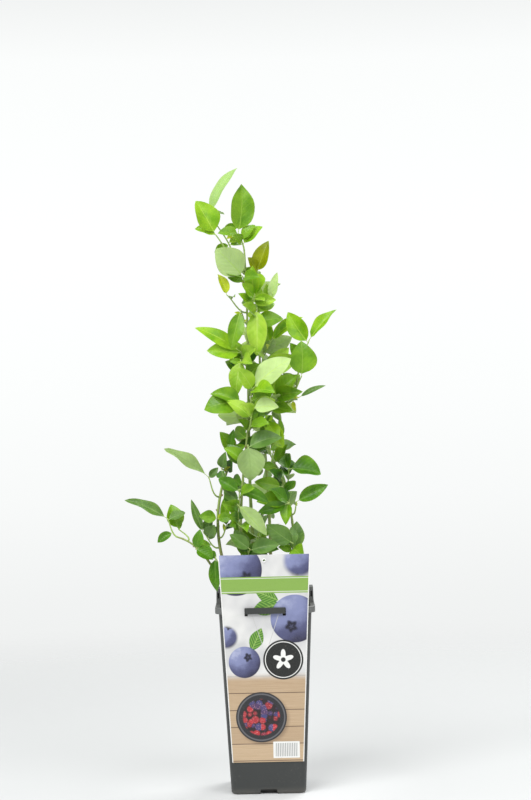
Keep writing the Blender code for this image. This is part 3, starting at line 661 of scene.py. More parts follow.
def grow_plant():
    """Limbs, twigs and leaves: every twig first, then each twig's last leaf, then the rest."""
    limbs = limb_ends()
    space = fill_space(limbs)
    twigs = {}
    leaves = {name: [] for name in SPRIGS}
    for name, row in SPRIGS.items():
        ends = twig_ends(limbs, row)
        _, direction = root_of(limbs[row.limb], row.height, Vector(row.end) * MM)
        path = curve_path(ends, TWIG_STEPS)
        twigs[name] = (ends, tube(path, TWIG_FOOT_RADIUS, TWIG_TIP_RADIUS, TWIG_SIDES, direction))
        grown = (TWIG_FOOT_RADIUS + LEAF_CLEAR, TWIG_TIP_RADIUS + LEAF_CLEAR)
        space.add(name, tube(path, *grown, TWIG_SIDES))
    for number, (name, row) in enumerate(SPRIGS.items()):
        facing = facing_of(row, random.Random(number))
        leaf = (Vector(row.end) * MM, Vector(row.tip) * MM, facing, row.last_width)
        if space.is_free(name, leaf_solid(*leaf, LEAF_CLEAR)):
            leaves[name].append(leaf)
            space.add(name, leaf_solid(*leaf, LEAF_CLEAR))
    for order, (name, row) in enumerate(SPRIGS.items()):
        seed = random.Random(SIDE_LEAF_SEED + order)
        for number in range(row.count):
            leaf = side_leaf(name, row, twigs[name][0], number, space, seed)
            if leaf:
                leaves[name].append(leaf)
                space.add(name, leaf_solid(*leaf, LEAF_CLEAR))
    return limbs, twigs, leaves


class Batch:
    """Points, faces, pattern places and finishes of many small surfaces, joined into one mesh."""

    def __init__(self):
        self.points, self.quads, self.triangles = [], [], []
        self.places, self.quad_looks, self.triangle_looks = [], [], []
        self.count = 0

    def add(self, points, quads, triangles, places, quad_looks, triangle_looks):
        """Append one surface; its looks are material numbers, one a face."""
        self.points.append(points)
        self.quads.append(quads + self.count)
        self.triangles.append(triangles + self.count)
        self.places.append(places)
        self.quad_looks.append(np.broadcast_to(quad_looks, len(quads)))
        self.triangle_looks.append(np.broadcast_to(triangle_looks, len(triangles)))
        self.count += len(points)

    def piece(self, name, materials):
        """One smooth mesh object with the pattern places as its UV map."""
        faces = np.concatenate(self.quads).tolist() + np.concatenate(self.triangles).tolist()
        looks = np.concatenate(self.quad_looks + self.triangle_looks)
        return make_piece(name, np.concatenate(self.points), faces, materials,
                          np.concatenate(self.places), looks)


def make_piece(name, points, faces, materials, places=None, looks=None):
    """Mesh object at the origin from points and faces, with its materials and its UV map."""
    mesh = bpy.data.meshes.new(name)
    mesh.from_pydata(np.asarray(points).tolist(), [], faces)
    for look in materials:
        mesh.materials.append(look)
    if looks is not None:
        mesh.polygons.foreach_set("material_index", np.asarray(looks, np.int32))
    if places is not None:
        corner = np.zeros(len(mesh.loops), np.int32)
        mesh.loops.foreach_get("vertex_index", corner)
        layer = mesh.uv_layers.new(name="UVMap")
        layer.data.foreach_set("uv", np.asarray(places, np.float32)[corner].ravel())
    mesh.polygons.foreach_set("use_smooth", np.ones(len(mesh.polygons), bool))
    mesh.update()
    made = bpy.data.objects.new(name, mesh)
    bpy.context.scene.collection.objects.link(made)
    return made


def settle(piece, slot, *nodes):
    """Let a finished piece ride with the pot and stand for its solids."""
    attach(piece, "root")
    if nodes:
        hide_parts(*nodes)
    return piece


def unit(rows):
    """Each row over its own length."""
    return rows / np.maximum(np.linalg.norm(rows, axis=-1, keepdims=True), 1e-12)


def path_of(ends, steps):
    """Points of the cubic through two ends with two pulls, at equal shares t."""
    t = np.linspace(0.0, 1.0, steps + 1)[:, None]
    ends = np.array([tuple(point) for point in ends])
    weights = np.concatenate([(1 - t) ** 3, 3 * (1 - t) ** 2 * t, 3 * (1 - t) * t ** 2, t ** 3], axis=1)
    return weights @ ends


def path_frames(path):
    """Ways along, across and square to a path: the across way is one fixed way made square to it."""
    along = unit(np.gradient(path, axis=0))
    fixed = np.cross(along[0], along[-1])
    if np.linalg.norm(fixed) < STRAIGHT_BELOW:
        fixed = np.eye(3)[np.argmin(np.abs(along.mean(axis=0)))]
    across = unit(fixed - (along @ fixed)[:, None] * along)
    return along, across, np.cross(along, across)


def tube_faces(rows, sides):
    """Quads between rings, and triangles that close both ends on a point of their own."""
    row, side = np.meshgrid(np.arange(rows - 1), np.arange(sides), indexing="ij")
    after = (side + 1) % sides
    corners = (row * sides + side, row * sides + after, (row + 1) * sides + after, (row + 1) * sides + side)
    quads = np.stack(corners, axis=-1).reshape(-1, 4)
    ring = np.arange(sides)
    turn = (ring + 1) % sides
    low, high = rows * sides, rows * sides + 1
    last = (rows - 1) * sides
    first_end = np.stack([np.full(sides, low), turn, ring], axis=-1)
    last_end = np.stack([np.full(sides, high), last + ring, last + turn], axis=-1)
    return quads, np.concatenate([first_end, last_end])


def tube_surface(path, radii, sides):
    """Skin of a limb: path(t) + r(t, a) (cos a across + sin a square), a once round, with rounded ends."""
    along, across, square = path_frames(path)
    angle = np.linspace(0.0, 2 * np.pi, sides, endpoint=False)[None, :, None]
    radii = np.broadcast_to(np.asarray(radii).reshape(len(path), -1), (len(path), sides))[..., None]
    rings = path[:, None] + radii * (np.cos(angle) * across[:, None] + np.sin(angle) * square[:, None])
    mean = radii.mean(axis=1)
    ends = np.stack([path[0] - ROOT_ROUND * mean[0] * along[0], path[-1] + TIP_ROUND * mean[-1] * along[-1]])
    points = np.concatenate([rings.reshape(-1, 3), ends])
    quads, triangles = tube_faces(len(path), sides)
    return points, quads, triangles


def add_tube(batch, path, radii, sides, look):
    """Join a limb to a batch; its pattern places are its own heights and turns."""
    points, quads, triangles = tube_surface(path, radii, sides)
    places = np.stack([points[:, 0] + points[:, 1], points[:, 2]], axis=-1)
    batch.add(points, quads, triangles, places, look, look)


def half_width(v):
    """Half width of an egg-shaped leaf over its full width: half of sin(pi v^0.86)^0.8."""
    return 0.5 * np.sin(np.pi * np.clip(v, 0.0, 1.0) ** LEAF_EGG) ** LEAF_FULL


def blade_surface(base, tip, facing, width, seed):
    """Skin of a leaf: base + v L along + (u w(v) + bend) sideways + its rise, u across from -1 to 1 and
    v along. The rise is the arch A L (v - v^2), the fold F |u|^1.3 w, the margin's wave and the tip's
    curl C L v^4. The bend is B L (v - v^2), and the sideways way turns about the midrib as v grows.
    Both sides stand off the middle along its own normal, by half the thickness times 1 - u^2."""
    length, along, side, normal = leaf_frame(base, tip, facing)
    base, along, side, normal = (np.array(way) for way in (base, along, side, normal))
    ranges = (BLADE_FOLD, BLADE_CURL, BLADE_BEND, BLADE_TWIST, BLADE_WAVE, (0.0, 2 * math.pi))
    fold, curl, bend, twist, wave, start = [seed.uniform(*limits) for limits in ranges]
    v = np.linspace(0.0, 1.0, BLADE_ROWS + 2)[1:-1, None] ** BLADE_ROW_EASE
    u = np.linspace(-1.0, 1.0, BLADE_COLUMNS)[None, :]
    place = PETIOLE_SHARE + (1.0 - PETIOLE_SHARE) * v
    half = half_width(v) * width * length
    rise = LEAF_ARCH * length * (place - place ** 2) + fold * np.abs(u) ** BLADE_FOLD_POWER * half
    rise = rise + wave * length * np.sin(2 * np.pi * BLADE_WAVES * v + start) * u ** 2 * np.sign(u + 1e-9)
    rise = rise + curl * length * place ** 4
    shift = u * half * (1.0 - BLADE_NARROWING * fold) + bend * length * (place - place ** 2)
    swing = twist * (place - BLADE_STRAIGHT_AT)
    across = (np.cos(swing) * shift)[..., None] * side + (np.sin(swing) * shift)[..., None] * normal
    middle = base + place[..., None] * length * along + across + rise[..., None] * normal
    out = np.cross(np.gradient(middle, axis=1), np.gradient(middle, axis=0))
    out = out / np.linalg.norm(out, axis=-1, keepdims=True)
    thick = 0.5 * BLADE_THICKNESS * (1.0 - u ** 2)[..., None] * out
    upper = middle + thick
    lower = (middle - thick)[:, 1:-1]
    first = base + PETIOLE_SHARE * length * along + LEAF_ARCH * length * 0.93 * PETIOLE_SHARE * normal
    last = base + length * along + curl * length * normal
    points = np.concatenate([upper.reshape(-1, 3), lower.reshape(-1, 3), [first, last]])
    flat = np.stack([0.5 + u * half_width(v) * width, v * np.ones_like(u)], axis=-1)
    places = np.concatenate([flat.reshape(-1, 2), flat[:, 1:-1].reshape(-1, 2), [[0.5, 0.0], [0.5, 1.0]]])
    return points, places, first


def blade_faces():
    """Quads and end triangles of a leaf's upper and under side, which share its margin."""
    rows, columns = BLADE_ROWS, BLADE_COLUMNS
    upper = np.arange(rows * columns).reshape(rows, columns)
    inner = rows * columns + np.arange(rows * (columns - 2)).reshape(rows, columns - 2)
    lower = np.concatenate([upper[:, :1], inner, upper[:, -1:]], axis=1)
    first = rows * columns + rows * (columns - 2)
    last = first + 1
    quads, triangles, quad_side, triangle_side = [], [], [], []
    for number, grid in enumerate((upper, lower)):
        corners = [grid[:-1, :-1], grid[:-1, 1:], grid[1:, 1:], grid[1:, :-1]]
        foot = [np.full(columns - 1, first), grid[0, 1:], grid[0, :-1]]
        head = [grid[-1, :-1], grid[-1, 1:], np.full(columns - 1, last)]
        if number:
            corners = [corners[0], corners[3], corners[2], corners[1]]
            foot, head = foot[::-1], head[::-1]
        quads.append(np.stack(corners, axis=-1).reshape(-1, 4))
        triangles.append(np.stack(foot, axis=-1))
        triangles.append(np.stack(head, axis=-1))
        quad_side.append(np.full(len(quads[-1]), number))
        triangle_side.append(np.full(2 * (columns - 1), number))
    return (np.concatenate(quads), np.concatenate(triangles),
            np.concatenate(quad_side), np.concatenate(triangle_side))


BLADE = blade_faces()


class Value:
    """An output in a material's graph, which takes the usual signs of sums."""

    def __init__(self, graph, socket):
        self.graph = graph
        self.socket = socket

    def __add__(self, other):
        return self.graph.math("ADD", self, other)

    def __sub__(self, other):
        return self.graph.math("SUBTRACT", self, other)

    def __rsub__(self, other):
        return self.graph.math("SUBTRACT", other, self)

    def __mul__(self, other):
        return self.graph.math("MULTIPLY", self, other)

    def __truediv__(self, other):
        return self.graph.math("DIVIDE", self, other)

    def __rtruediv__(self, other):
        return self.graph.math("DIVIDE", other, self)

    def __abs__(self):
        return self.graph.math("ABSOLUTE", self)


class Graph:
    """Short words for laying out a material's nodes."""

    def __init__(self, tree):
        self.tree = tree

    def put(self, socket, value):
        """Set a socket, or link an output to it; a colour of three numbers is opaque."""
        if isinstance(value, Value):
            self.tree.links.new(value.socket, socket)
        elif socket.type == "RGBA":
            socket.default_value = (*value[:3], 1.0)
        else:
            socket.default_value = value

    def node(self, kind, inputs=None, **settings):
        """Add a node with its settings and inputs."""
        made = self.tree.nodes.new(kind)
        for key, value in settings.items():
            setattr(made, key, value)
        for key, value in (inputs or {}).items():
            self.put(made.inputs[key], value)
        return made

    def take(self, output, kind, inputs=None, **settings):
        """Add a node and take one of its outputs."""
        return Value(self, self.node(kind, inputs, **settings).outputs[output])

    def named(self, node):
        """All outputs of a node, by name."""
        return {socket.name: Value(self, socket) for socket in node.outputs}

    def math(self, operation, first, second=0.0):
        """One sum of two numbers."""
        return self.take(0, "ShaderNodeMath", {0: first, 1: second}, operation=operation)

    def vector(self, operation, first, second=(0.0, 0.0, 0.0)):
        """One sum of two vectors."""
        output = "Value" if operation in ("LENGTH", "DOT_PRODUCT") else "Vector"
        return self.take(output, "ShaderNodeVectorMath", {0: first, 1: second}, operation=operation)

    def ramp(self, value, low, high, start=0.0, end=1.0, smooth=True):
        """Carry a value from one range to another, clamped."""
        kind = "SMOOTHSTEP" if smooth else "LINEAR"
        inputs = {"Value": value, "From Min": low, "From Max": high, "To Min": start, "To Max": end}
        return self.take(0, "ShaderNodeMapRange", inputs, interpolation_type=kind)

    def line(self, value, middle, inner, outer, share=1.0):
        """A share where a value is near a middle, which fades between two distances from it."""
        return self.ramp(abs(value - middle), inner, outer, share, 0.0)

    def mix(self, share, first, second):
        """Mix two colours."""
        inputs = {0: share, 6: first, 7: second}
        return self.take(2, "ShaderNodeMix", inputs, data_type="RGBA", clamp_factor=True)

    def noise(self, place, scale, detail=2.0, roughness=0.5):
        """Cloudy value over a place."""
        inputs = {"Vector": place, "Scale": scale, "Detail": detail, "Roughness": roughness}
        return self.take(0, "ShaderNodeTexNoise", inputs)

    def cells(self, place, scale, randomness=1.0):
        """Outputs of a pattern of cells over a place."""
        inputs = {"Vector": place, "Scale": scale, "Randomness": randomness}
        return self.named(self.node("ShaderNodeTexVoronoi", inputs))

    def split(self, vector):
        """The three numbers of a vector."""
        return self.named(self.node("ShaderNodeSeparateXYZ", {0: vector})).values()

    def join(self, x, y):
        """A vector in a plane."""
        return self.take(0, "ShaderNodeCombineXYZ", {0: x, 1: y})

    def place(self, stretch=None):
        """Object coordinates, stretched by a vector or plain."""
        place = self.take("Object", "ShaderNodeTexCoord")
        return self.vector("MULTIPLY", place, stretch) if stretch else place

    def use(self, group, **inputs):
        """Place a shared node group and give its outputs by name."""
        return self.named(self.node("ShaderNodeGroup", inputs, node_tree=group))

    def bump(self, height, strength, distance):
        """Normal of a surface with a fine relief."""
        inputs = {"Height": height, "Strength": strength, "Distance": distance}
        return self.take(0, "ShaderNodeBump", inputs)

    def dress(self, skin, base, rough, normal):
        """Give a shader its colour, roughness and relief."""
        for key, value in (("Base Color", base), ("Roughness", rough), ("Normal", normal)):
            self.put(skin[key], value)


def new_group(name, **inputs):
    """Empty node group, its graph and its named inputs: one number is a value, three are a place."""
    tree = bpy.data.node_groups.new(name, "ShaderNodeTree")
    for key, value in inputs.items():
        kind = "NodeSocketFloat" if isinstance(value, float) else "NodeSocketVector"
        tree.interface.new_socket(name=key, in_out="INPUT", socket_type=kind).default_value = value
    graph = Graph(tree)
    return graph, graph.named(graph.node("NodeGroupInput"))


def end_group(graph, **outputs):
    """Give a node group its named outputs: Colour is a colour and the rest are values."""
    for key in outputs:
        kind = "NodeSocketColor" if key == "Colour" else "NodeSocketFloat"
        graph.tree.interface.new_socket(name=key, in_out="OUTPUT", socket_type=kind)
    graph.node("NodeGroupOutput", outputs)
    return graph.tree


def new_material(name):
    """Material with a graph to fill and its shader's inputs."""
    made = bpy.data.materials.new(name)
    made.use_nodes = True
    return made, Graph(made.node_tree), made.node_tree.nodes["Principled BSDF"].inputs


def shade(colour, share):
    """A colour made darker or lighter."""
    return tuple(share * part for part in colour)


def make_leaf_veins():
    """Midrib, side ribs and relief in a leaf's own plane: ribs are the lines V - k |U| = n / N."""
    graph, source = new_group("leaf veins", Pairs=6.5, Slant=1.05, Rib=0.012)
    place = graph.take(0, "ShaderNodeUVMap", uv_map="UVMap")
    across, along, _ = graph.split(place)
    aside = abs(across - 0.5)
    thin = source["Rib"] * graph.ramp(along, 0.0, 1.0, 1.5, 0.45)
    midrib = graph.ramp(aside / thin, 0.45, 1.3, 1.0, 0.0)
    phase = (along - aside * source["Slant"] + 0.5) * source["Pairs"]
    gap = graph.math("PINGPONG", phase, 0.5)
    ribs = graph.ramp(gap, 0.015, 0.085, 1.0, 0.0) * graph.ramp(aside, 0.04, 0.26, 1.0, 0.15)
    fine = graph.noise(graph.vector("MULTIPLY", place, (1.0, 1.0, 0.0)), 38.0, 3.0)
    relief = graph.ramp(gap, 0.0, 0.4) * 0.45 + fine * 0.18 - midrib * 0.8 - ribs * 0.25
    return end_group(graph, Midrib=midrib, Ribs=ribs, Relief=relief)


def make_speckle():
    """Dust and splashes: high spots of two clouds of different size."""
    graph, source = new_group("dust", Size=260.0, Amount=0.5)
    small = graph.noise(graph.place(), source["Size"], 6.0, 0.65)
    large = graph.noise(graph.place(), 22.0, 3.0)
    dust = graph.ramp(small, 0.55, 0.75) * graph.ramp(large, 0.42, 0.68)
    return end_group(graph, Mask=dust * source["Amount"])


def make_grain():
    """Fine grain of moulded plastic, paper or bark: a cloud stretched by a vector."""
    graph, source = new_group("grain", Stretch=(1.0, 1.0, 1.0), Size=900.0)
    return end_group(graph, Value=graph.noise(graph.place(source["Stretch"]), source["Size"], 4.0, 0.6))


VEINS = make_leaf_veins()
SPECKLE = make_speckle()
GRAIN = make_grain()


def leaf_material(name, colour, dark, rib, matt, relief):
    """Leaf skin with ribs, soft blotches and a waxy gloss."""
    made, graph, skin = new_material(name)
    veins = graph.use(VEINS)
    blotch = graph.ramp(graph.noise(graph.place(), 70.0, 3.0), 0.35, 0.70)
    base = graph.mix(blotch, colour, dark)
    base = graph.mix(veins["Ribs"] * RIB_TINT, base, rib)
    base = graph.mix(veins["Midrib"] * MIDRIB_TINT, base, rib)
    rough = graph.ramp(graph.noise(graph.place(), 400.0), 0.3, 0.7, matt - 0.05, matt + 0.07)
    graph.dress(skin, base, rough, graph.bump(veins["Relief"], relief, 0.5 * MM))
    for key, value in LEAF_SKIN.items():
        skin[key].default_value = value
    return made


def leaf_materials():
    """Upper and under side of every leaf colour, in order."""
    made = []
    for name, (upper, dark, under, rib) in LEAF_COLOURS.items():
        made.append(leaf_material(f"leaf_{name}_upper", upper, dark, rib, *UPPER_ROUGH_RELIEF))
        softer = shade(under, 0.86)
        made.append(leaf_material(f"leaf_{name}_under", under, softer, rib, *UNDER_ROUGH_RELIEF))
    return made


def bark_material(name, green, brown, brown_below):
    """Skin of a stem: green above, brown and flaking towards the soil, with lenticels."""
    made, graph, skin = new_material(name)
    place = graph.place()
    _, _, height = graph.split(place)
    cloud = graph.noise(graph.place((1.0, 1.0, 0.25)), 160.0, 4.0)
    age = graph.ramp(height, brown_below, SOIL_TOP, smooth=False) + (cloud - 0.5) * 0.9
    streak = graph.use(GRAIN, Stretch=(1.0, 1.0, 0.12), Size=1500.0)["Value"]
    lenticel = graph.ramp(graph.cells(place, 420.0)["Distance"], 0.10, 0.20, 1.0, 0.0)
    base = graph.mix(graph.ramp(age, 0.1, 0.8), green, brown)
    base = graph.mix(graph.ramp(streak, 0.45, 0.75, 0.0, 0.45), base, shade(brown, 0.5))
    base = graph.mix(lenticel * 0.5, base, LENTICEL)
    rough = graph.ramp(streak, 0.3, 0.8, 0.48, 0.75)
    graph.dress(skin, base, rough, graph.bump(streak + lenticel * 0.6, 0.5, 0.25 * MM))
    return made


def plastic_material(name, colour, wear_and_light, matt):
    """Moulded plastic: fine grain, scuffs, dust, more dust on the foot where it stands, painted light on
    a wall that is mixed paler upwards, and a painted sheen that makes the rim and lugs paler towards the
    sides."""
    made, graph, skin = new_material(name)
    place = graph.place()
    aside, _, height = graph.split(place)
    grain = graph.use(GRAIN, Size=1900.0)["Value"]
    scuff = graph.use(GRAIN, Stretch=(1.0, 1.0, 0.06), Size=700.0)["Value"]
    dust = graph.use(SPECKLE, Size=420.0, Amount=0.16)["Mask"]
    cloud = graph.noise(place, 30.0, 3.0)
    scuffed = graph.ramp(scuff, 0.62, 0.80) * graph.ramp(cloud, 0.45, 0.70)
    foot = graph.ramp(height, 9.0 * MM, 0.0, 0.0, 0.30)
    # Painted light: the wall is mixed towards the paler grey upwards, lighter towards the rim
    wall = graph.ramp(height, 40.0 * MM, RIM_BOTTOM, 0.0, 0.75)
    wall = wall * graph.ramp(height, RIM_BOTTOM - 0.2 * MM, RIM_BOTTOM, 1.0, 0.0)
    # Painted sheen: the rim and lugs turn paler towards the sides
    side_sheen = graph.ramp(height, RIM_BOTTOM - 2.0 * MM, RIM_BOTTOM + 1.0 * MM)
    side_sheen = side_sheen * graph.ramp(abs(aside), 26.0 * MM, 46.0 * MM, 0.0, 0.8)
    base = graph.mix(wall, colour, wear_and_light)
    base = graph.mix(side_sheen, base, PLASTIC_SIDE_SHEEN)
    base = graph.mix(scuffed * 0.45, base, wear_and_light)
    base = graph.mix(graph.ramp(cloud, 0.3, 0.7, 0.0, 0.25), base, shade(colour, 0.75))
    base = graph.mix(graph.math("MAXIMUM", dust, foot * cloud), base, DUST)
    rough = graph.ramp(grain, 0.3, 0.7, matt - 0.05, matt + 0.06) + (dust + scuffed) * 0.25
    graph.dress(skin, base, rough, graph.bump(grain + scuffed, 0.16, 0.10 * MM))
    return made


def soil_material(name, dark, light, scale):
    """Peat: dark and light fibres, matt, with a coarse relief."""
    made, graph, skin = new_material(name)
    place = graph.place()
    fibre = graph.use(GRAIN, Stretch=(1.0, 0.3, 1.0), Size=1400.0)["Value"]
    base = graph.mix(graph.ramp(graph.noise(place, 55.0, 4.0), 0.35, 0.65), dark, light)
    base = graph.mix(graph.ramp(fibre, 0.55, 0.75, 0.0, 0.8), base, shade(light, 1.8))
    relief = graph.cells(place, scale)["Distance"] + fibre
    graph.dress(skin, base, graph.ramp(fibre, 0.3, 0.7, 0.82, 0.98), graph.bump(relief, 0.8, 0.8 * MM))
    return made


def round_square(half, radius, steps):
    """Plan of a square with round corners: each corner's middle plus radius times (cos a, sin a)."""
    turn = np.arange(4)[:, None] * 0.5 * np.pi + np.linspace(0.0, 0.5 * np.pi, steps + 1)
    middle = (half - radius) * np.array([[1, 1], [-1, 1], [-1, -1], [1, -1]])
    ring = middle[:, None] + radius * np.stack([np.cos(turn), np.sin(turn)], axis=-1)
    return ring.reshape(-1, 2)


def loft_squares(profile, steps):
    """Closed skin over round squares, one for each (half width, corner radius, height) of a profile."""
    rings = [np.column_stack([round_square(half, radius, steps), np.full(4 * (steps + 1), height)])
             for half, radius, height in profile]
    sides = len(rings[0])
    quads, _ = tube_faces(len(rings), sides)
    faces = quads.tolist()
    faces.append(list(range(sides))[::-1])
    faces.append(list(range((len(rings) - 1) * sides, len(rings) * sides)))
    return np.concatenate(rings), faces


def arc_profile(half, height, radius, start, end, steps):
    """Quarter rounds of a profile: (half + r cos a, height + r sin a) from a start to an end, in degrees."""
    angles = np.radians(np.linspace(start, end, steps + 1))
    return [(half + radius * math.cos(a), height + radius * math.sin(a)) for a in angles]


def tub_profile():
    """Half widths and heights of the tub, from under its foot, over the rim and down its inside."""
    face = wall_half(0.0)
    rows = arc_profile(face - BASE_EDGE_RADIUS, BASE_EDGE_RADIUS, BASE_EDGE_RADIUS, -90, 0, EDGE_STEPS)
    rim = 0.5 * RIM_WIDTH
    wall = wall_half(RIM_BOTTOM - RIM_FILLET)
    rows += [(wall_half(share * RIM_BOTTOM), share * RIM_BOTTOM) for share in OUTER_ROWS]
    rows += arc_profile(wall + RIM_FILLET, RIM_BOTTOM - RIM_FILLET, RIM_FILLET, 180, 90, FILLET_STEPS)
    lip = 0.5 * RIM_EDGE
    rows += arc_profile(rim - lip, RIM_BOTTOM + lip, lip, -90, 0, LIP_STEPS)
    rows += arc_profile(rim - RIM_EDGE, RIM_TOP - RIM_EDGE, RIM_EDGE, 0, 90, ROLL_STEPS)
    mouth = wall_half(RIM_BOTTOM) - WALL
    rows += arc_profile(mouth + RIM_EDGE, RIM_TOP - RIM_EDGE, RIM_EDGE, 90, 180, ROLL_STEPS)
    rows += [(wall_half(share * RIM_BOTTOM) - WALL, share * RIM_BOTTOM) for share in INNER_ROWS]
    inner = BASE_EDGE_RADIUS - INNER_EDGE_SHARE * WALL
    low = face - WALL - inner
    rows += arc_profile(low, WALL + inner, inner, 0, -90, EDGE_STEPS)
    return rows


def corner_of(half, height):
    """Corner radius of the tub at a half width: it keeps its middle as the wall moves in or out."""
    middle = wall_half(min(height, RIM_BOTTOM)) - CORNER_RADIUS
    return max(min(half - middle, CORNER_RADIUS + CORNER_GROWTH), CORNER_LEAST)


def outward(points, faces):
    """Turn a closed prism's faces outwards where its outline ran the other way."""
    points = np.array([tuple(point) for point in points])
    middle = points.mean(axis=0)
    turned = []
    for face in faces:
        corners = points[list(face)]
        normal = np.cross(corners[1] - corners[0], corners[2] - corners[0])
        away = corners.mean(axis=0) - middle
        turned.append(tuple(face) if normal @ away > 0 else tuple(face)[::-1])
    return points, turned


def helper(name, points, faces):
    """Convex shape that only a Boolean reads."""
    made = make_piece(name, *outward(points, faces), [])
    made.hide_render = True
    return made


def cut(target, tool, operation):
    """Let the target be cut by, or joined with, a helper shape."""
    step = target.modifiers.new(tool.name, "BOOLEAN")
    step.operation = operation
    step.solver = "EXACT"
    step.object = tool


def apply_steps(piece):
    """Keep the result of a piece's modifiers as its mesh."""
    bpy.context.view_layer.update()
    view = bpy.context.evaluated_depsgraph_get()
    mesh = bpy.data.meshes.new_from_object(piece.evaluated_get(view))
    piece.modifiers.clear()
    piece.data = mesh
    for item in [item for item in bpy.data.objects if item.name.startswith("helper_")]:
        bpy.data.objects.remove(item, do_unlink=True)


def finish_edges(piece, width):
    """Round the sharp edges a little and shade the flats flat."""
    edge = piece.modifiers.new("edge", "BEVEL")
    edge.width = width
    edge.segments = BEVEL_STEPS
    edge.limit_method = "ANGLE"
    edge.angle_limit = math.radians(BEVEL_ANGLE)
    edge.use_clamp_overlap = True
    piece.modifiers.new("shade", "WEIGHTED_NORMAL").keep_sharp = True
    apply_steps(piece)


def quarter_turn(points, quarter):
    """Turn points about the Z axis by quarter turns."""
    cosine, sine = round(math.cos(0.5 * math.pi * quarter)), round(math.sin(0.5 * math.pi * quarter))
    return np.array([(x * cosine - y * sine, x * sine + y * cosine, z) for x, y, z in points])


def notch_block(grow, depth_from, bottom):
    """Trapezoid block at the front foot of the pot, grown by a margin."""
    low = 0.5 * NOTCH_BOTTOM_WIDTH + grow
    high = 0.5 * NOTCH_TOP_WIDTH + grow
    top = NOTCH_HEIGHT + grow
    outline = [(-low, 0, bottom), (low, 0, bottom), (high, 0, top), (-high, 0, top)]
    return prism(outline, (0, depth_from, 0), (0, -wall_half(0.0) + NOTCH_DEPTH + grow, 0))


def make_pot(look):
    """Tub with its rim, drain notches, lugs and the card's loop, all edges rounded."""
    profile = [(half, corner_of(half, height), height) for half, height in tub_profile()]
    pot = make_piece("pot_shell", *loft_squares(profile, CORNER_STEPS), [look])
    face = wall_half(0.0)
    for quarter in range(4):
        points, faces = notch_block(WALL, 0.5 * WALL - face, 0.5 * WALL)
        cut(pot, helper(f"helper_pocket_{quarter}", quarter_turn(points, quarter), faces), "UNION")
    for quarter in range(4):
        points, faces = notch_block(0.0, -face - PAST, -PAST)
        cut(pot, helper(f"helper_notch_{quarter}", quarter_turn(points, quarter), faces), "DIFFERENCE")
        angles = 2 * np.pi * np.arange(HOLE_SIDES) / HOLE_SIDES
        ring = [(DRAIN_RADIUS * math.cos(angle), DRAIN_RADIUS * math.sin(angle) + DRAIN_INSET - face, 0)
                for angle in angles]
        points, faces = prism(ring, (0, 0, 0.5 * NOTCH_HEIGHT), (0, 0, NOTCH_HEIGHT + WALL + PAST))
        cut(pot, helper(f"helper_drain_{quarter}", quarter_turn(points, quarter), faces), "DIFFERENCE")
    for side in (-1, 1):
        add_lug(pot, side)
    add_loop(pot)
    finish_edges(pot, POT_BEVEL)
    return settle(pot, "pot", "pot")


def add_lug(pot, side):
    """One upright lug on the rim, with a small pocket in each end."""
    foot = 0.5 * (RIM_BOTTOM + RIM_TOP)
    outline = [
        (side * LUG_FOOT_OUT, 0, foot),
        (side * (LUG_FOOT_OUT - LUG_FOOT_THICKNESS), 0, foot),
        (side * (LUG_TOP_OUT - LUG_TOP_THICKNESS), 0, LUG_TOP),
        (side * LUG_TOP_OUT, 0, LUG_TOP),
    ]
    half = 0.5 * LUG_LENGTH
    shape = prism(outline, (0, -half, 0), (0, half, 0))
    cut(pot, helper(f"helper_lug_{side + 1}", *shape), "UNION")
    thickness = 0.5 * (LUG_FOOT_THICKNESS + LUG_TOP_THICKNESS)
    middle = side * 0.5 * (LUG_FOOT_OUT + LUG_TOP_OUT - thickness)
    wide = 0.5 * LUG_POCKET_WIDTH
    for end in (-1, 1):
        near = sorted((end * (half - LUG_POCKET_DEPTH), end * (half + PAST)))
        low = (middle - wide, near[0], LUG_POCKET_BOTTOM)
        high = (middle + wide, near[1], LUG_POCKET_TOP)
        cut(pot, helper(f"helper_lug_{side + 1}_{end + 1}", *box(low, high)), "DIFFERENCE")


def add_loop(pot):
    """Bar in front of the card, joined to the rim by a web at each end."""
    top = LOOP_BOTTOM + LOOP_HEIGHT
    back = card_front(top) - GAP
    half = 0.5 * LOOP_WIDTH
    for side in (-1, 1):
        near = sorted((side * half, side * (half - LOOP_WEB)))
        low = (near[0], back - 0.5 * LOOP_BAR, LOOP_BOTTOM + WEB_ABOVE_BAR_FOOT)
        high = (near[1], 0.5 * WALL - 0.5 * RIM_WIDTH, top - WEB_BELOW_BAR_TOP)
        cut(pot, helper(f"helper_web_{side + 1}", *box(low, high)), "UNION")
    bar = box((-half, back - LOOP_BAR, LOOP_BOTTOM), (half, back, top))
    cut(pot, helper("helper_bar", *bar), "UNION")


def soil_height(x, y):
    """Lumps of the soil from 0 to 1: a half plus a sum of sine waves in seeded ways, each over size^0.55."""
    ways = random.Random(SOIL_SEED)
    total = np.zeros_like(x)
    for size in SOIL_WAVES:
        angle = ways.uniform(0, 2 * math.pi)
        phase = ways.uniform(0, 2 * math.pi)
        wave = np.sin(size / SOIL_WAVE_LENGTH * (x * math.cos(angle) + y * math.sin(angle)) + phase)
        total = total + wave / size ** SOIL_WAVE_FALL
    return np.clip(0.5 + SOIL_WAVE_GAIN * total, 0.0, 1.0)


def soil_rise(x, y):
    """Rise of the soil over its level: a flat share of the highest lump, and the lumps."""
    return (SOIL_FLAT + (1.0 - SOIL_FLAT) * soil_height(x, y)) * SOIL_LUMP


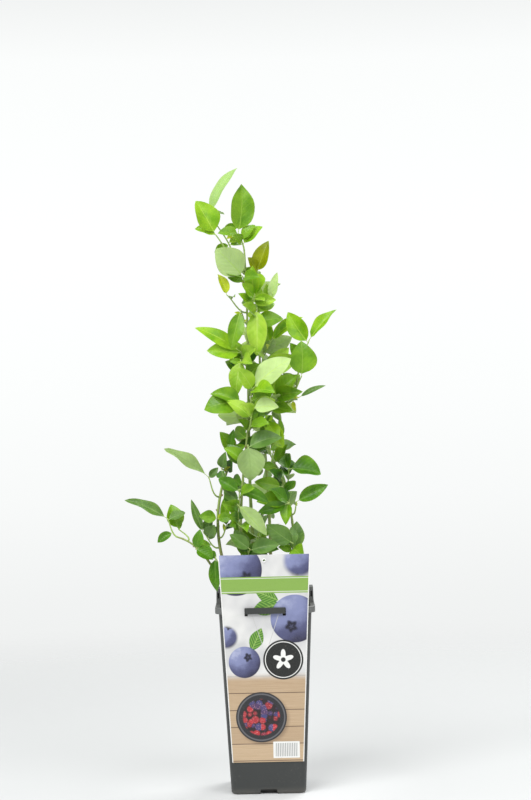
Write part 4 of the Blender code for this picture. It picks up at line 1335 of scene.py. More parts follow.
def make_soil(look):
    """Lumpy top of the soil: round squares from the wall to the middle, each point raised by the lumps,
    which are lower close to the wall."""
    half = wall_half(SOIL_TOP) - WALL - 2 * GAP
    shares = np.linspace(1.0, 0.0, SOIL_RINGS + 1)[:-1]
    corner = CORNER_RADIUS - WALL - 2 * GAP
    rings = [round_square(half * share, corner * share, SOIL_CORNER_STEPS) for share in shares]
    plan = np.concatenate(rings)
    edge = np.repeat(shares, len(rings[0]))
    rise = soil_rise(plan[:, 0], plan[:, 1]) * np.clip((1.0 - edge) * SOIL_EDGE_SLOPE, SOIL_EDGE_LEAST, 1.0)
    top = np.column_stack([plan, SOIL_TOP + GAP + rise])
    foot = np.column_stack([rings[0], np.full(len(rings[0]), SOIL_TOP + 0.1 * MM)])
    points = np.concatenate([foot, top])
    sides = len(rings[0])
    quads, _ = tube_faces(len(rings) + 1, sides)
    faces = quads.tolist()
    faces.append(list(range(sides))[::-1])
    faces.append(list(range(len(rings) * sides, (len(rings) + 1) * sides)))
    return settle(make_piece("soil_top", points, faces, [look]), "soil")


def scatter_blobs(name, count, sizes, look, seed):
    """Crumbs: an eight-sided shape stretched, turned and set on the lumps at seeded places."""
    rng = np.random.default_rng(seed)
    corner = np.array([[1, 0, 0], [-1, 0, 0], [0, 1, 0], [0, -1, 0], [0, 0, 1], [0, 0, -1]], float)
    faces = np.array([[0, 2, 4], [2, 1, 4], [1, 3, 4], [3, 0, 4], [2, 0, 5], [1, 2, 5], [3, 1, 5], [0, 3, 5]])
    half = wall_half(SOIL_TOP) - WALL - CRUMB_CLEAR
    middle = rng.uniform(-half, half, (count, 2))
    size = rng.uniform(*sizes, (count, 1, 1)) * rng.uniform(*CRUMB_STRETCH, (count, 1, 3))
    shape = corner * size * rng.uniform(*CRUMB_CORNERS, (count, 6, 1))
    turns, _ = np.linalg.qr(rng.normal(size=(count, 3, 3)))
    turns = turns * np.sign(np.linalg.det(turns))[:, None, None]
    shape = shape @ turns
    height = SOIL_TOP + GAP + soil_rise(middle[:, 0], middle[:, 1])
    shape = shape + np.column_stack([middle, height])[:, None]
    number = np.arange(count)[:, None, None] * 6
    piece = make_piece(name, shape.reshape(-1, 3), (faces + number).reshape(-1, 3).tolist(), [look])
    return settle(piece, "soil")


def make_eyelet(look):
    """White ring round the card's hole: an oval section carried about the hole's middle."""
    steps, sides = EYELET_STEPS, EYELET_SIDES
    turn = np.linspace(0, 2 * np.pi, steps, endpoint=False)[:, None]
    around = np.linspace(0, 2 * np.pi, sides, endpoint=False)[None, :]
    out = EYELET_RADIUS - EYELET_ROUND + EYELET_ROUND * np.cos(around)
    face = card_front(CARD_HOLE_HEIGHT) - EYELET_OUT
    points = np.stack([out * np.cos(turn), face - EYELET_FLAT * EYELET_ROUND * np.sin(around) + 0 * turn,
                       CARD_HOLE_HEIGHT + out * np.sin(turn)], axis=-1)
    row, side = np.meshgrid(np.arange(steps), np.arange(sides), indexing="ij")
    next_row, next_side = (row + 1) % steps * sides, (side + 1) % sides
    row = row * sides
    corners = (row + side, row + next_side, next_row + next_side, next_row + side)
    faces = np.stack(corners, axis=-1).reshape(-1, 4)
    return settle(make_piece("card_eyelet", points.reshape(-1, 3), faces.tolist(), [look]), "card")


def bark_radii(path, first, last, seed):
    """Radius at a share t and a turn a: a taper times one plus ridges, cos(5 a + 9 t), finer lines,
    cos(9 a - 31 t), and a swelling at each node, exp(-(distance / length)^2) on the side of its bud."""
    t = np.linspace(0.0, 1.0, len(path))[:, None]
    angle = np.linspace(0.0, 2 * np.pi, BARK_SIDES, endpoint=False)[None, :]
    phase = seed.uniform(0, 2 * math.pi)
    radius = first + (last - first) * t
    ridge = BARK_RIDGES * np.cos(RIDGE_COUNT * angle + RIDGE_WIND * t + phase)
    ridge = ridge + BARK_LINES * np.cos(LINE_COUNT * angle - LINE_WIND * t)
    length = np.linalg.norm(np.diff(path, axis=0), axis=1).sum()
    nodes = np.arange(*NODE_RANGE, NODE_GAP / length)
    turns = np.arange(len(nodes)) * math.radians(LEAF_TURN) + phase
    reach = np.exp(-((t[:, :, None] - nodes) * length / NODE_LENGTH) ** 2)
    side = 0.5 + 0.5 * np.cos(angle[:, :, None] - turns)
    swelling = (reach * side ** 2).sum(axis=-1) * NODE_SWELLING
    return radius * (1.0 + ridge + swelling), nodes, turns


def add_bud(batch, foot, way, seed, look):
    """Pointed bud: a tube whose radius runs as sin(pi s^0.7)^0.8, with s along a short way."""
    length = BUD_LENGTH * seed.uniform(*BUD_SIZES)
    s = np.linspace(*BUD_RANGE, BUD_STEPS)
    path = np.array(foot) + s[:, None] * length * np.array(way)
    radii = BUD_RADIUS * np.sin(np.pi * s ** BUD_EGG) ** BUD_FULL * (length / BUD_LENGTH)
    add_tube(batch, path, radii, SHOOT_SIDES, look)


def make_limb(name, limb, looks):
    """Bark of one stem or bough, and its buds in the leaf scars, which miss a run now and then."""
    ends, first, last, _ = limb
    seed = random.Random(name)
    path = path_of(ends, BARK_STEPS)
    radii, nodes, turns = bark_radii(path, first, last, seed)
    batch = Batch()
    add_tube(batch, path, radii, BARK_SIDES, 0)
    along, across, square = path_frames(path)
    for share, turn in zip(nodes, turns):
        if share % BUD_RUN < BUD_BARE or share > BUD_LAST:
            continue
        place = int(share * BARK_STEPS)
        out = math.cos(turn) * across[place] + math.sin(turn) * square[place]
        way = unit(BUD_ALONG * along[place] + BUD_OUT * out)
        add_bud(batch, path[place] + out * radii[place].mean() * BUD_SUNK, way, seed, 1)
    return settle(batch.piece(name + "_bark", looks), "bark", name)


def fine_leaves(limbs, twigs, leaves):
    """Smaller leaves that fill the twigs by the same rule, where there is room, and young ones."""
    space = fill_space(limbs)
    for name, (ends, _) in twigs.items():
        path = curve_path(ends, TWIG_STEPS)
        space.add(name, tube(path, TWIG_FOOT_RADIUS, TWIG_TIP_RADIUS, TWIG_SIDES))
    for name, grown in leaves.items():
        for leaf in grown:
            space.add(name + "_grown", leaf_solid(*leaf, FINE_CLEAR))
    inner = {name: [] for name in SPRIGS}
    young = {name: [] for name in SPRIGS}
    for order, (name, row) in enumerate(SPRIGS.items()):
        seed = random.Random(INNER_SEED + order)
        tries = INNER_TRIES if row.count > 1 else 1
        kinds = [(INNER_LEAF * seed.uniform(*INNER_SIZES), SIDE_LEAF_WIDTH, inner) for _ in range(tries)]
        kinds += [(YOUNG_LEAF * seed.uniform(*YOUNG_SIZES), YOUNG_WIDTH, young) for _ in range(YOUNG_TRIES)]
        for size, width, kept in kinds:
            facing = facing_of(row, seed)
            share = seed.uniform(*INNER_PLACES)
            turn = seed.uniform(0.0, 360.0)
            base, tip = leaf_tip(twigs[name][0], share, turn, size, row)
            leaf = (base, tip, facing, width)
            if within_crown(tip) and space.is_free(name, leaf_solid(*leaf, FINE_CLEAR)):
                kept[name].append(leaf)
                space.add(name + "_grown", leaf_solid(*leaf, FINE_CLEAR))
    return inner, young, limb_leaves(limbs, space)


def limb_leaves(limbs, space):
    """Leaves of the same spiral on the stems and boughs themselves, where there is room."""
    kept = {name: [] for name in limbs}
    for order, (name, (ends, _, _, _)) in enumerate(limbs.items()):
        seed = random.Random(LIMB_LEAF_SEED + order)
        facing = FRONT if ends[2].y < LIMB_FRONT * MM else BACK
        row = Sprig(name, None, ends[3], ends[3], 0.0, 0, 0, 0, LIMB_LEAF_SPREAD, facing)
        for step in range(LIMB_LEAF_COUNT):
            share = (step + 0.5) / LIMB_LEAF_COUNT
            size = INNER_LEAF * seed.uniform(*LIMB_LEAF_SIZES)
            leaf_facing = facing_of(row, seed)
            for change in TURNS_ASIDE:
                base, tip = leaf_tip(ends, share, LEAF_TURN * step + change, size, row)
                leaf = (base, tip, leaf_facing, SIDE_LEAF_WIDTH)
                high = LIMB_LEAF_FROM < base.z / MM < LIMB_LEAF_TO
                if high and within_crown(tip) and space.is_free(name, leaf_solid(*leaf, FINE_CLEAR)):
                    kept[name].append(leaf)
                    space.add(name + "_grown", leaf_solid(*leaf, FINE_CLEAR))
                    break
    return kept


def within_crown(tip):
    """Tell whether a leaf's tip stays inside the crown's own width at its height."""
    reach = np.interp(tip.z / MM, CROWN_HEIGHTS, CROWN_REACH) * MM
    return abs(tip.x - CROWN_MIDDLE * MM) < reach and abs(tip.y) < CROWN_DEPTH * MM


# Sprigs that show a pale under side to the front, and those with a leaf colour of their own
PALE_SIDE_FRONT = "crown_tip crown_low left mid_center front_drop upper_right mid_front front_mid".split()
OWN_COLOURS = {
    "bright": "crown_left mid_left right",
    "fresh": "mid_center upper_right mid_front",
    "middle": "crown_top crown_low mid_low_left branch_top left_side front_drop right_front",
    "deep": "branch_mid branch_low low_right low_right_side front_low",
    "cool": "left branch_tip left_low front_mid right_low base_right",
    "young": "upper_left",
    "olive": "crown_right",
    "pale": "crown_tip",
}
SPRIG_COLOURS = {"sprig_" + name: colour for colour, names in OWN_COLOURS.items() for name in names.split()}
MIXED_HIGH = ("bright", "fresh", "middle", "bright", "middle")
MIXED_LOW = ("middle", "deep", "cool", "middle", "cool")
HIGH_ABOVE = 360.0


def spray_colour(name, height, seed):
    """Number of the leaf colour dealt to one spray or leaf at a height in millimetres."""
    mixed = MIXED_HIGH if height > HIGH_ABOVE else MIXED_LOW
    return list(LEAF_COLOURS).index(SPRIG_COLOURS.get(name) or seed.choice(mixed))


def inner_colour(leaf, seed):
    """Number of the colour of a leaf inside the crown: more of them are shaded lower down."""
    height = leaf[1].z / MM
    if seed.random() < np.interp(height, SHADED_HEIGHTS, SHADED_SHARES):
        return list(LEAF_COLOURS).index("shade")
    return spray_colour(None, height, seed)


def add_leaf(batch, stalks, leaf, colour, pale, seed):
    """One blade with its stalk; a pale leaf shows its under side to the front."""
    base, tip, facing, width = leaf
    points, places, foot = blade_surface(base, tip, facing, width, seed)
    quads, triangles, quad_side, triangle_side = BLADE
    looks = [2 * colour + abs(side - pale) for side in (quad_side, triangle_side)]
    batch.add(points, quads, triangles, places, *looks)
    start = np.array(base)
    reach = foot - start
    stalk = start + np.linspace(*PETIOLE_REACH, PETIOLE_STEPS)[:, None] * reach
    radii = PETIOLE_RADIUS * np.linspace(*PETIOLE_TAPER, PETIOLE_STEPS)
    add_tube(stalks, stalk, radii, PETIOLE_STEPS, 1)


def make_foliage(limbs, twigs, leaves, looks, shoot_looks):
    """Leaves and twigs of each limb, each kind joined."""
    inner, young, on_limbs = fine_leaves(limbs, twigs, leaves)
    for limb in limbs:
        names = [name for name, row in SPRIGS.items() if row.limb == limb]
        blades, stalks = Batch(), Batch()
        for name in names:
            row = SPRIGS[name]
            seed = random.Random(name)
            own = spray_colour(name, row.end[2], seed)
            path = path_of(twigs[name][0], SHOOT_STEPS)
            t = np.linspace(0.0, 1.0, len(path))
            radii = TWIG_FOOT_RADIUS + (TWIG_TIP_RADIUS - TWIG_FOOT_RADIUS) * t
            radii = radii * (1.0 + SHOOT_SWELLING * np.sin(2 * np.pi * SHOOT_NODES * t) ** 4)
            add_tube(stalks, path, radii, SHOOT_SIDES, 0)
            for number, leaf in enumerate(leaves[name]):
                colour = spray_colour(None, row.end[2], seed) if number > 1 else own
                pale = number == 0 and name.removeprefix("sprig_") in PALE_SIDE_FRONT
                add_leaf(blades, stalks, leaf, colour, pale, seed)
            for leaf in inner[name]:
                add_leaf(blades, stalks, leaf, inner_colour(leaf, seed), 0, seed)
            for leaf in young[name]:
                add_leaf(blades, stalks, leaf, list(LEAF_COLOURS).index("young"), 0, seed)
        seed = random.Random(limb + "_leaves")
        for leaf in on_limbs[limb]:
            add_leaf(blades, stalks, leaf, inner_colour(leaf, seed), 0, seed)
        foliage = blades.piece("leaves_" + limb, looks)
        foliage.data.set_sharp_from_angle(angle=math.radians(MARGIN_ANGLE))
        settle(foliage, "leaf", *names)
        settle(stalks.piece("twigs_" + limb, shoot_looks), "bark")


def make_printed_berry():
    """A printed berry: a lit ball with a bloom and a dark five-lobed crown, in millimetres of the card.
    The ball's normal is (x, y, sqrt(1 - x^2 - y^2)) and the light comes from above on the left."""
    graph, source = new_group("printed berry", Place=(0.0, 0.0, 0.0), Middle=(0.0, 0.0, 0.0), Radius=20.0,
                              Crown=(0.2, 0.3, 0.0), Blur=0.02)
    local = graph.vector("SUBTRACT", source["Place"], source["Middle"])
    local = graph.take(0, "ShaderNodeVectorMath", {0: local, 3: 1.0 / source["Radius"]}, operation="SCALE")
    away = graph.vector("LENGTH", local)
    cloud = graph.noise(graph.vector("ADD", local, source["Middle"]), 1.7, 4.0, 0.55)
    x, y, _ = graph.split(local)
    bulge = graph.math("SQRT", graph.math("MAXIMUM", 1.0 - away * away, 0.0))
    light = y * 0.55 - x * 0.40 + bulge * 0.55 + (cloud - 0.5) * 0.8
    colour = graph.mix(graph.ramp(light, -0.45, 0.25), BERRY_NIGHT, BERRY_DUSK)
    colour = graph.mix(graph.ramp(light, 0.20, 0.70), colour, BERRY_BLUE)
    colour = graph.mix(graph.ramp(light, 0.70, 1.05, 0.0, 0.8), colour, BERRY_BLOOM)
    local = graph.vector("SUBTRACT", local, source["Crown"])
    x, y, _ = graph.split(local)
    turn = (graph.math("ARCTAN2", y, x) + cloud) * 5.0
    lobe = graph.math("COSINE", turn) * 0.045 + (cloud - 0.5) * 0.25 + 0.20
    deep = graph.vector("LENGTH", local) - lobe
    colour = graph.mix(graph.ramp(deep, 0.0, 0.09, 0.75, 0.0), colour, CROWN_EDGE)
    colour = graph.mix(graph.ramp(deep, -0.04, 0.02, 0.95, 0.0), colour, CROWN_DARK)
    colour = graph.mix(graph.ramp(deep, -0.12, -0.17, 0.0, 0.35), colour, CROWN_HEART)
    return end_group(graph, Mask=graph.ramp(away, 1.0 - source["Blur"], 1.0, 1.0, 0.0), Colour=colour)


def make_printed_leaf():
    """A printed leaf from a foot along a way: its half width is 0.27 sin(pi p), with p along, and its
    ribs slant."""
    graph, source = new_group("printed leaf", Place=(0.0, 0.0, 0.0), Foot=(0.0, 0.0, 0.0),
                              Way=(10.0, 0.0, 0.0))
    local = graph.vector("SUBTRACT", source["Place"], source["Foot"])
    square = graph.vector("DOT_PRODUCT", source["Way"], source["Way"])
    along = graph.vector("DOT_PRODUCT", local, source["Way"]) / square
    _, _, crossed = graph.split(graph.vector("CROSS_PRODUCT", local, source["Way"]))
    aside = abs(crossed / square)
    held = graph.math("MINIMUM", graph.math("MAXIMUM", along, 0.0), 1.0)
    width = graph.math("SINE", held * math.pi) * 0.27
    rib = graph.ramp(graph.math("PINGPONG", (along - aside) * 8.0, 0.5), 0.0, 0.30)
    colour = graph.mix(rib, PRINTED_LEAF, PRINTED_LEAF_DARK)
    colour = graph.mix(graph.ramp(aside, 0.006, 0.02, 0.8, 0.0), colour, PRINTED_LEAF_RIB)
    return end_group(graph, Mask=graph.ramp(aside - width, -0.012, 0.006, 1.0, 0.0), Colour=colour)


# Print of the card, in millimetres from its middle line and from the floor
# Berries: middle, radius, place of the crown over the radius, blur of the edge
PRINT_BERRIES = (
    ((36.0, 240.0), 19.0, (-0.30, -0.90), 0.35),
    ((-29.0, 232.0), 27.0, (0.42, -0.30), 0.03),
    ((-40.0, 163.0), 13.0, (0.20, 0.85), 0.30),
    ((30.0, 181.0), 25.0, (-0.15, -0.32), 0.03),
    ((-22.0, 137.0), 16.5, (0.22, 0.30), 0.04),
)
# Leaves: foot, way from the foot to the tip
PRINT_LEAVES = (
    ((16.0, 197.0), (-30.0, -8.0)),
    ((14.0, 200.0), (-24.0, 10.0)),
    ((-15.0, 148.0), (11.0, 24.0)),
)
BAND_MIDDLE = 216.0
BAND_HALF = 8.5
BAND_RULE = 1.6
WOOD_TOP = 122.0
WOOD_BLUR = 5.0
PLANK = 17.5
PLATE = ((-6.0, 80.0), 26.0)
SEAL = ((17.5, 139.0), 20.5)
EDGE_RING = 2.2
STRIPES = ((19.0, 46.0), (13.5, 8.5))
STRIPE_MARGIN = (2.0, 1.6)
CARD_BORDER = 0.9
PRINT_SOFT = 0.25
CUT_FROM = (13.5, 185.5)
CUT_TO = (3.5, 155.0)
CUT_WIDTH = 0.22

BERRY_NIGHT = (0.024, 0.022, 0.055)
BERRY_DUSK = (0.080, 0.086, 0.185)
BERRY_BLUE = (0.22, 0.245, 0.43)
BERRY_BLOOM = (0.50, 0.53, 0.70)
CROWN_EDGE = (0.016, 0.017, 0.045)
CROWN_DARK = (0.012, 0.011, 0.026)
CROWN_HEART = (0.13, 0.14, 0.28)
PRINTED_LEAF = (0.22, 0.42, 0.06)
PRINTED_LEAF_DARK = (0.07, 0.20, 0.025)
PRINTED_LEAF_RIB = (0.36, 0.54, 0.14)
FIELD_GREY = (0.56, 0.56, 0.565)
FIELD_PALE = (0.73, 0.725, 0.71)
BAND_GREEN = (0.23, 0.39, 0.075)
WOOD_LIGHT = (0.66, 0.51, 0.35)
WOOD_MIDDLE = (0.40, 0.27, 0.15)
WOOD_DARK = (0.30, 0.19, 0.11)
WOOD_SEAM = (0.10, 0.06, 0.035)
PLATE_SHADOW = (0.10, 0.06, 0.04)
PLATE_BLACK = (0.022, 0.022, 0.026)
PLATE_RING = (0.30, 0.30, 0.32)
FRUIT_RED = (0.50, 0.035, 0.045)
FRUIT_BLUE = (0.055, 0.06, 0.19)
FRUIT_DARK = (0.10, 0.010, 0.020)
FRUIT_SHINE = (0.90, 0.50, 0.50)
FRUIT_GAP = (0.020, 0.012, 0.014)
SEAL_BLACK = (0.012, 0.013, 0.012)
STRIPE_GREY = (0.20, 0.20, 0.20)
CUT_GREY = (0.50, 0.50, 0.49)


def panel_mask(graph, x, z, middle, half, corner):
    """One inside a round-cornered panel: the distance to its inner box less the corner's radius."""
    aside = graph.math("MAXIMUM", abs(x - middle[0]) - (half[0] - corner), 0.0)
    above = graph.math("MAXIMUM", abs(z - middle[1]) - (half[1] - corner), 0.0)
    away = graph.vector("LENGTH", graph.join(aside, above))
    return graph.ramp(away, corner - PRINT_SOFT, corner + PRINT_SOFT, 1.0, 0.0)


def round_mask(graph, place, middle, radius, soft):
    """One inside a circle of the print, and the distance from its middle."""
    away = graph.vector("LENGTH", graph.vector("SUBTRACT", place, (*middle, 0.0)))
    return graph.ramp(away, radius - soft, radius + soft, 1.0, 0.0), away


def printed_wood(graph, place, z):
    """Level planks: long streaks, a dark seam at each plank's edge and a tone of its own for each."""
    number = graph.math("FLOOR", z / PLANK)
    tone = graph.math("FRACT", graph.math("SINE", number * 12.9) * 43.7)
    streaks = graph.noise(graph.vector("MULTIPLY", place, (0.03, 0.9, 1.0)), 1.0, 5.0, 0.6)
    colour = graph.mix(streaks, WOOD_MIDDLE, WOOD_LIGHT)
    colour = graph.mix(tone * 0.35, colour, WOOD_DARK)
    seam = graph.math("PINGPONG", z, 0.5 * PLANK)
    return graph.mix(graph.ramp(seam, 0.15, 0.75, 0.85, 0.0), colour, WOOD_SEAM)


def printed_plate(graph, place, colour):
    """Dark plate with small red and blue fruit: cells of a Voronoi pattern, each a lit ball."""
    (x, z), radius = PLATE
    shadow, _ = round_mask(graph, place, (x + 2.0, z - 2.0), radius, 3.0)
    colour = graph.mix(shadow * 0.5, colour, PLATE_SHADOW)
    mask, away = round_mask(graph, place, (x, z), radius, PRINT_SOFT)
    colour = graph.mix(mask, colour, PLATE_BLACK)
    colour = graph.mix(graph.line(away, radius - EDGE_RING, 0.3, 1.1, 0.35), colour, PLATE_RING)
    cells = graph.cells(place, 0.16, 0.75)
    kind, tone, _ = graph.split(cells["Color"])
    fruit = graph.mix(graph.ramp(kind, 0.56, 0.60), FRUIT_RED, FRUIT_BLUE)
    fruit = graph.mix(tone * 0.5, fruit, FRUIT_DARK)
    drupe = graph.cells(place, 0.75)["Distance"]
    fruit = graph.mix(graph.ramp(drupe, 0.1, 0.45, 0.35, 0.0), fruit, FRUIT_SHINE)
    fruit = graph.mix(graph.ramp(cells["Distance"], 0.48, 0.72), fruit, FRUIT_GAP)
    return graph.mix(graph.ramp(away, radius - 8.0, radius - 6.5, 1.0, 0.0), colour, fruit)


def printed_seal(graph, place, colour):
    """Plain black seal with a thin ring and a five-lobed flower, both pale."""
    middle, radius = SEAL
    mask, away = round_mask(graph, place, middle, radius, PRINT_SOFT)
    colour = graph.mix(mask, colour, SEAL_BLACK)
    colour = graph.mix(graph.line(away, radius - EDGE_RING, 0.25, 0.55), colour, PAPER)
    x, y, _ = graph.split(graph.vector("SUBTRACT", place, (*middle, 0.0)))
    lobe = graph.math("COSINE", graph.math("ARCTAN2", x, y) * 5.0) * 3.2 + 7.6
    colour = graph.mix(graph.ramp(away - lobe, -0.3, 0.3, 1.0, 0.0), colour, PAPER)
    return graph.mix(graph.ramp(away, 2.2, 2.6, 1.0, 0.0), colour, SEAL_BLACK)


def printed_ball(graph, berry, place, row, colour):
    """Lay one berry over the colours so far."""
    middle, radius, crown, blur = row
    ball = graph.use(berry, Place=place, Middle=(*middle, 0.0), Radius=radius, Crown=(*crown, 0.0), Blur=blur)
    return graph.mix(ball["Mask"], colour, ball["Colour"])


def printed_picture(graph, place, x, z):
    """Colours of the print, laid one over another: field, leaves, berries, band, planks, plate, seal,
    stripes and the paper's bare border."""
    berry, leaf = make_printed_berry(), make_printed_leaf()
    colour = graph.mix(graph.ramp(graph.noise(place, 0.03), 0.35, 0.65), FIELD_GREY, FIELD_PALE)
    for foot, way in PRINT_LEAVES:
        blade = graph.use(leaf, Place=place, Foot=(*foot, 0.0), Way=(*way, 0.0))
        colour = graph.mix(blade["Mask"], colour, blade["Colour"])
    for row in PRINT_BERRIES[:-1]:
        colour = printed_ball(graph, berry, place, row, colour)
    band = panel_mask(graph, x, z, (0.0, BAND_MIDDLE), (60.0, BAND_HALF), 0.5)
    colour = graph.mix(band, colour, BAND_GREEN)
    for shift in (BAND_RULE - BAND_HALF, BAND_HALF - BAND_RULE):
        colour = graph.mix(graph.line(z, BAND_MIDDLE + shift, 0.2, 0.45, 0.8), colour, PAPER)
    wood = printed_plate(graph, place, printed_wood(graph, place, z))
    colour = graph.mix(graph.ramp(z, WOOD_TOP - WOOD_BLUR, WOOD_TOP + WOOD_BLUR, 1.0, 0.0), colour, wood)
    colour = printed_ball(graph, berry, place, PRINT_BERRIES[-1], colour)
    colour = printed_seal(graph, place, colour)
    colour = graph.mix(panel_mask(graph, x, z, *STRIPES, 0.6), colour, PAPER)
    middle, half = STRIPES
    inner = [side - margin for side, margin in zip(half, STRIPE_MARGIN)]
    bars = graph.ramp(graph.math("PINGPONG", x, 0.9), 0.40, 0.50, 1.0, 0.0)
    colour = graph.mix(bars * panel_mask(graph, x, z, middle, inner, 0.1), colour, STRIPE_GREY)
    slope = [value / MM for value in (CARD_BOTTOM, CARD_TOP, 0.5 * CARD_BOTTOM_WIDTH, 0.5 * CARD_TOP_WIDTH)]
    edge = graph.ramp(z, *slope, smooth=False) - abs(x)
    return graph.mix(graph.ramp(edge, CARD_BORDER - 0.15, CARD_BORDER + 0.15, 1.0, 0.0), colour, PAPER)


def card_cuts(graph, x, z):
    """Two fine cuts under the bar that slant towards each other: one where |x| is near a line over z."""
    slant = (CUT_FROM[0] - CUT_TO[0]) / (CUT_FROM[1] - CUT_TO[1])
    line = (z - CUT_TO[1]) * slant + CUT_TO[0]
    above = graph.ramp(z, CUT_TO[1] - 0.1, CUT_TO[1] + 0.1)
    below = graph.ramp(z, CUT_FROM[1] + 0.1, CUT_FROM[1] - 0.1)
    return graph.line(abs(x), line, CUT_WIDTH, 2.2 * CUT_WIDTH) * (above * below)


def card_material():
    """Printed card: a glossy picture on its front, bare paper behind, fine cuts, grain and dust."""
    made, graph, skin = new_material("card_print")
    x, _, z = graph.split(graph.place((1.0 / MM, 1.0 / MM, 1.0 / MM)))
    cut_line = card_cuts(graph, x, z)
    colour = graph.mix(cut_line * 0.8, printed_picture(graph, graph.join(x, z), x, z), CUT_GREY)
    _, front, _ = graph.split(graph.take("Normal", "ShaderNodeNewGeometry"))
    colour = graph.mix(graph.ramp(front, -0.7, -0.5, 1.0, 0.0), PAPER, colour)
    dust = graph.use(SPECKLE, Size=500.0, Amount=0.25)["Mask"]
    grain = graph.use(GRAIN, Size=2600.0)["Value"]
    rough = graph.ramp(grain, 0.3, 0.7, 0.26, 0.36) + dust
    relief = graph.bump(grain * 0.2 - cut_line, 0.25, 0.15 * MM)
    graph.dress(skin, graph.mix(dust, colour, DUST), rough, relief)
    return made


# Studio, in metres and watts
FLOOR_HALF = 2.0
FLOOR_FADE = (0.45, 1.5)
# Painted light: the floor is paler within this reach of the pot, which lifts the pot's shadow
PAINTED_LIGHT_REACH = (0.04, 0.19)
FLOOR_PAINTED_LIGHT = (0.72, 0.73, 0.73)
FLOOR_GREY = (0.62, 0.63, 0.63)
GREY_CAST = (0.985, 1.0, 0.995)
SEEN_BAND = 0.25
SEEN_GREYS = (
    (0.0, 0.86), (0.25, 0.88), (0.30, 0.90), (0.40, 0.957), (0.50, 0.99), (0.66, 1.02), (0.85, 0.985),
    (1.0, 0.79),
)
SHONE_GREYS = ((0.0, 0.50), (0.47, 0.56), (0.53, 0.36), (0.72, 0.46), (1.0, 0.90))
# Softboxes: place, height of the target, side, power
SOFTBOXES = {
    "key": ((-0.9, -1.5, 1.9), 0.35, 1.4, 44.0),
    "fill": ((1.1, -1.4, 1.5), 0.30, 1.4, 16.0),
    "back": ((0.8, 1.2, 1.6), 0.40, 0.9, 18.0),
}
CAMERA_PLACE = (4.9 * MM, -2.0, 0.404)
CAMERA_ROLL = 1.2
CAMERA_LENS = 86.13


def make_stage():
    """Pale floor with painted light around the pot, a paler colour that lifts its shadow, fading into the
    pale surroundings.
    """
    made, graph, skin = new_material("floor")
    far = graph.vector("LENGTH", graph.place((1.0, 1.0, 0.0)))
    # Painted light: a paler floor colour near the pot lifts its shadow
    graph.put(skin["Base Color"], graph.mix(graph.ramp(far, *PAINTED_LIGHT_REACH), FLOOR_PAINTED_LIGHT, FLOOR_GREY))
    graph.put(skin["Alpha"], graph.ramp(far, *FLOOR_FADE, 1.0, 0.0))
    skin["Roughness"].default_value = 0.6
    skin["Specular IOR Level"].default_value = 0.25
    corners = FLOOR_HALF * np.array([(-1, -1, 0), (1, -1, 0), (1, 1, 0), (-1, 1, 0)])
    floor = make_piece("floor", corners, [(0, 1, 2, 3)], [made])


def grey_ramp(graph, value, stops):
    """Grey that follows a value through (position, grey) stops."""
    node = graph.node("ShaderNodeValToRGB", {"Fac": value})
    ramp = node.color_ramp
    ramp.elements[0].position, ramp.elements[1].position = stops[0][0], stops[-1][0]
    for position, _ in stops[1:-1]:
        ramp.elements.new(position)
    for element, (_, grey) in zip(ramp.elements, stops):
        element.color = (*shade(GREY_CAST, grey), 1.0)
    return Value(graph, node.outputs["Color"])


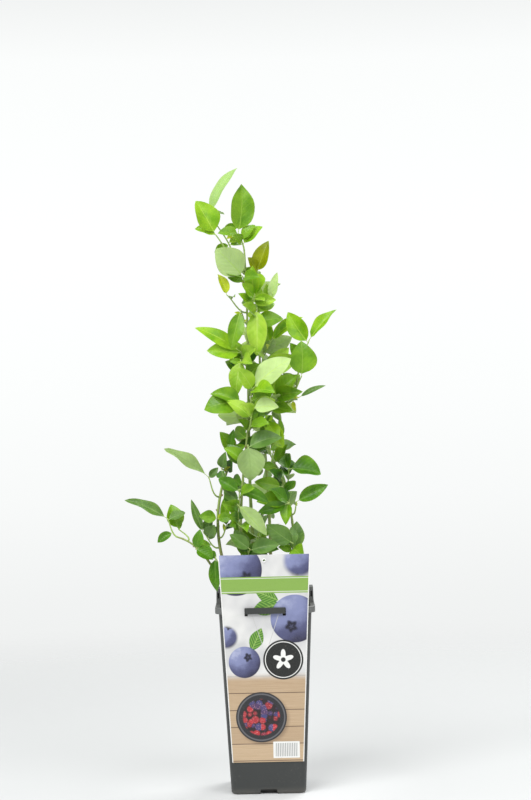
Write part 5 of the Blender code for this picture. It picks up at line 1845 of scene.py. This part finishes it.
def make_light():
    """Soft studio light: a large softbox high in front on the left, a weaker one on the right, a small
    one behind, and pale surroundings, which the camera sees brighter than they shine."""
    world = bpy.data.worlds.new("studio")
    bpy.context.scene.world = world
    world.use_nodes = True
    graph = Graph(world.node_tree)
    _, _, way = graph.split(graph.take("Generated", "ShaderNodeTexCoord"))
    seen = grey_ramp(graph, graph.ramp(way, -SEEN_BAND, SEEN_BAND, smooth=False), SEEN_GREYS)
    shone = grey_ramp(graph, graph.ramp(way, -1.0, 1.0, smooth=False), SHONE_GREYS)
    background = world.node_tree.nodes["Background"].inputs
    camera = graph.take("Is Camera Ray", "ShaderNodeLightPath")
    graph.put(background["Color"], graph.mix(camera, shone, seen))
    background["Strength"].default_value = 1.0
    for name, (place, height, side, power) in SOFTBOXES.items():
        light = bpy.data.lights.new(name, "AREA")
        light.size = side
        light.energy = power
        made = bpy.data.objects.new(name, light)
        made.location = place
        way = Vector((0.0, 0.0, height)) - Vector(place)
        made.rotation_euler = way.to_track_quat("-Z", "Y").to_euler()
        bpy.context.scene.collection.objects.link(made)


def make_camera():
    """Level camera two metres in front of the pot, with a slight roll, as in the photograph."""
    camera = bpy.data.cameras.new("camera")
    camera.sensor_width = 36.0
    camera.lens = CAMERA_LENS
    camera.clip_start = 0.05
    camera.clip_end = 50.0
    made = bpy.data.objects.new("camera", camera)
    made.location = CAMERA_PLACE
    made.rotation_euler = (math.radians(90.0), math.radians(CAMERA_ROLL), 0.0)
    bpy.context.scene.collection.objects.link(made)
    bpy.context.scene.camera = made


def build():
    """Dress the whole model."""
    bpy.context.scene.view_settings.view_transform = "Standard"
    make_camera()
    make_light()
    make_stage()
    make_pot(plastic_material("pot_plastic", GREY_PLASTIC, PLASTIC_WEAR_AND_LIGHT, POT_ROUGH))
    peat = soil_material("peat", PEAT_DARK, PEAT_LIGHT, PEAT_CELLS)
    frame["nodes"]["soil"].data.materials[0] = peat
    make_soil(peat)
    scatter_blobs("soil_crumbs", CRUMB_COUNT, CRUMB_SIZES, peat, CRUMB_SEED)
    grit = soil_material("grit", GRIT_GREY, GRIT_WHITE, GRIT_CELLS)
    scatter_blobs("soil_grit", GRIT_COUNT, GRIT_SIZES, grit, GRIT_SEED)
    frame["nodes"]["label_card"].data.materials[0] = card_material()
    make_eyelet(plastic_material("eyelet_plastic", PAPER, EYELET_WORN, EYELET_ROUGH))
    limbs, twigs, leaves = grow_plant()
    bark = bark_material("stem_bark", BARK_GREEN, BARK_BROWN, STEM_GREEN_FROM)
    bud = bark_material("bud_skin", BUD_RED, BARK_BROWN, STEM_GREEN_FROM)
    for name, limb in limbs.items():
        make_limb(name, limb, [bark, bud])
    shoot = bark_material("shoot_skin", SHOOT_GREEN, BARK_BROWN, SHOOT_GREEN_FROM)
    stalk = bark_material("stalk_skin", SHOOT_PALE, SHOOT_GREEN, SHOOT_GREEN_FROM)
    make_foliage(limbs, twigs, leaves, leaf_materials(), [shoot, stalk])


build()
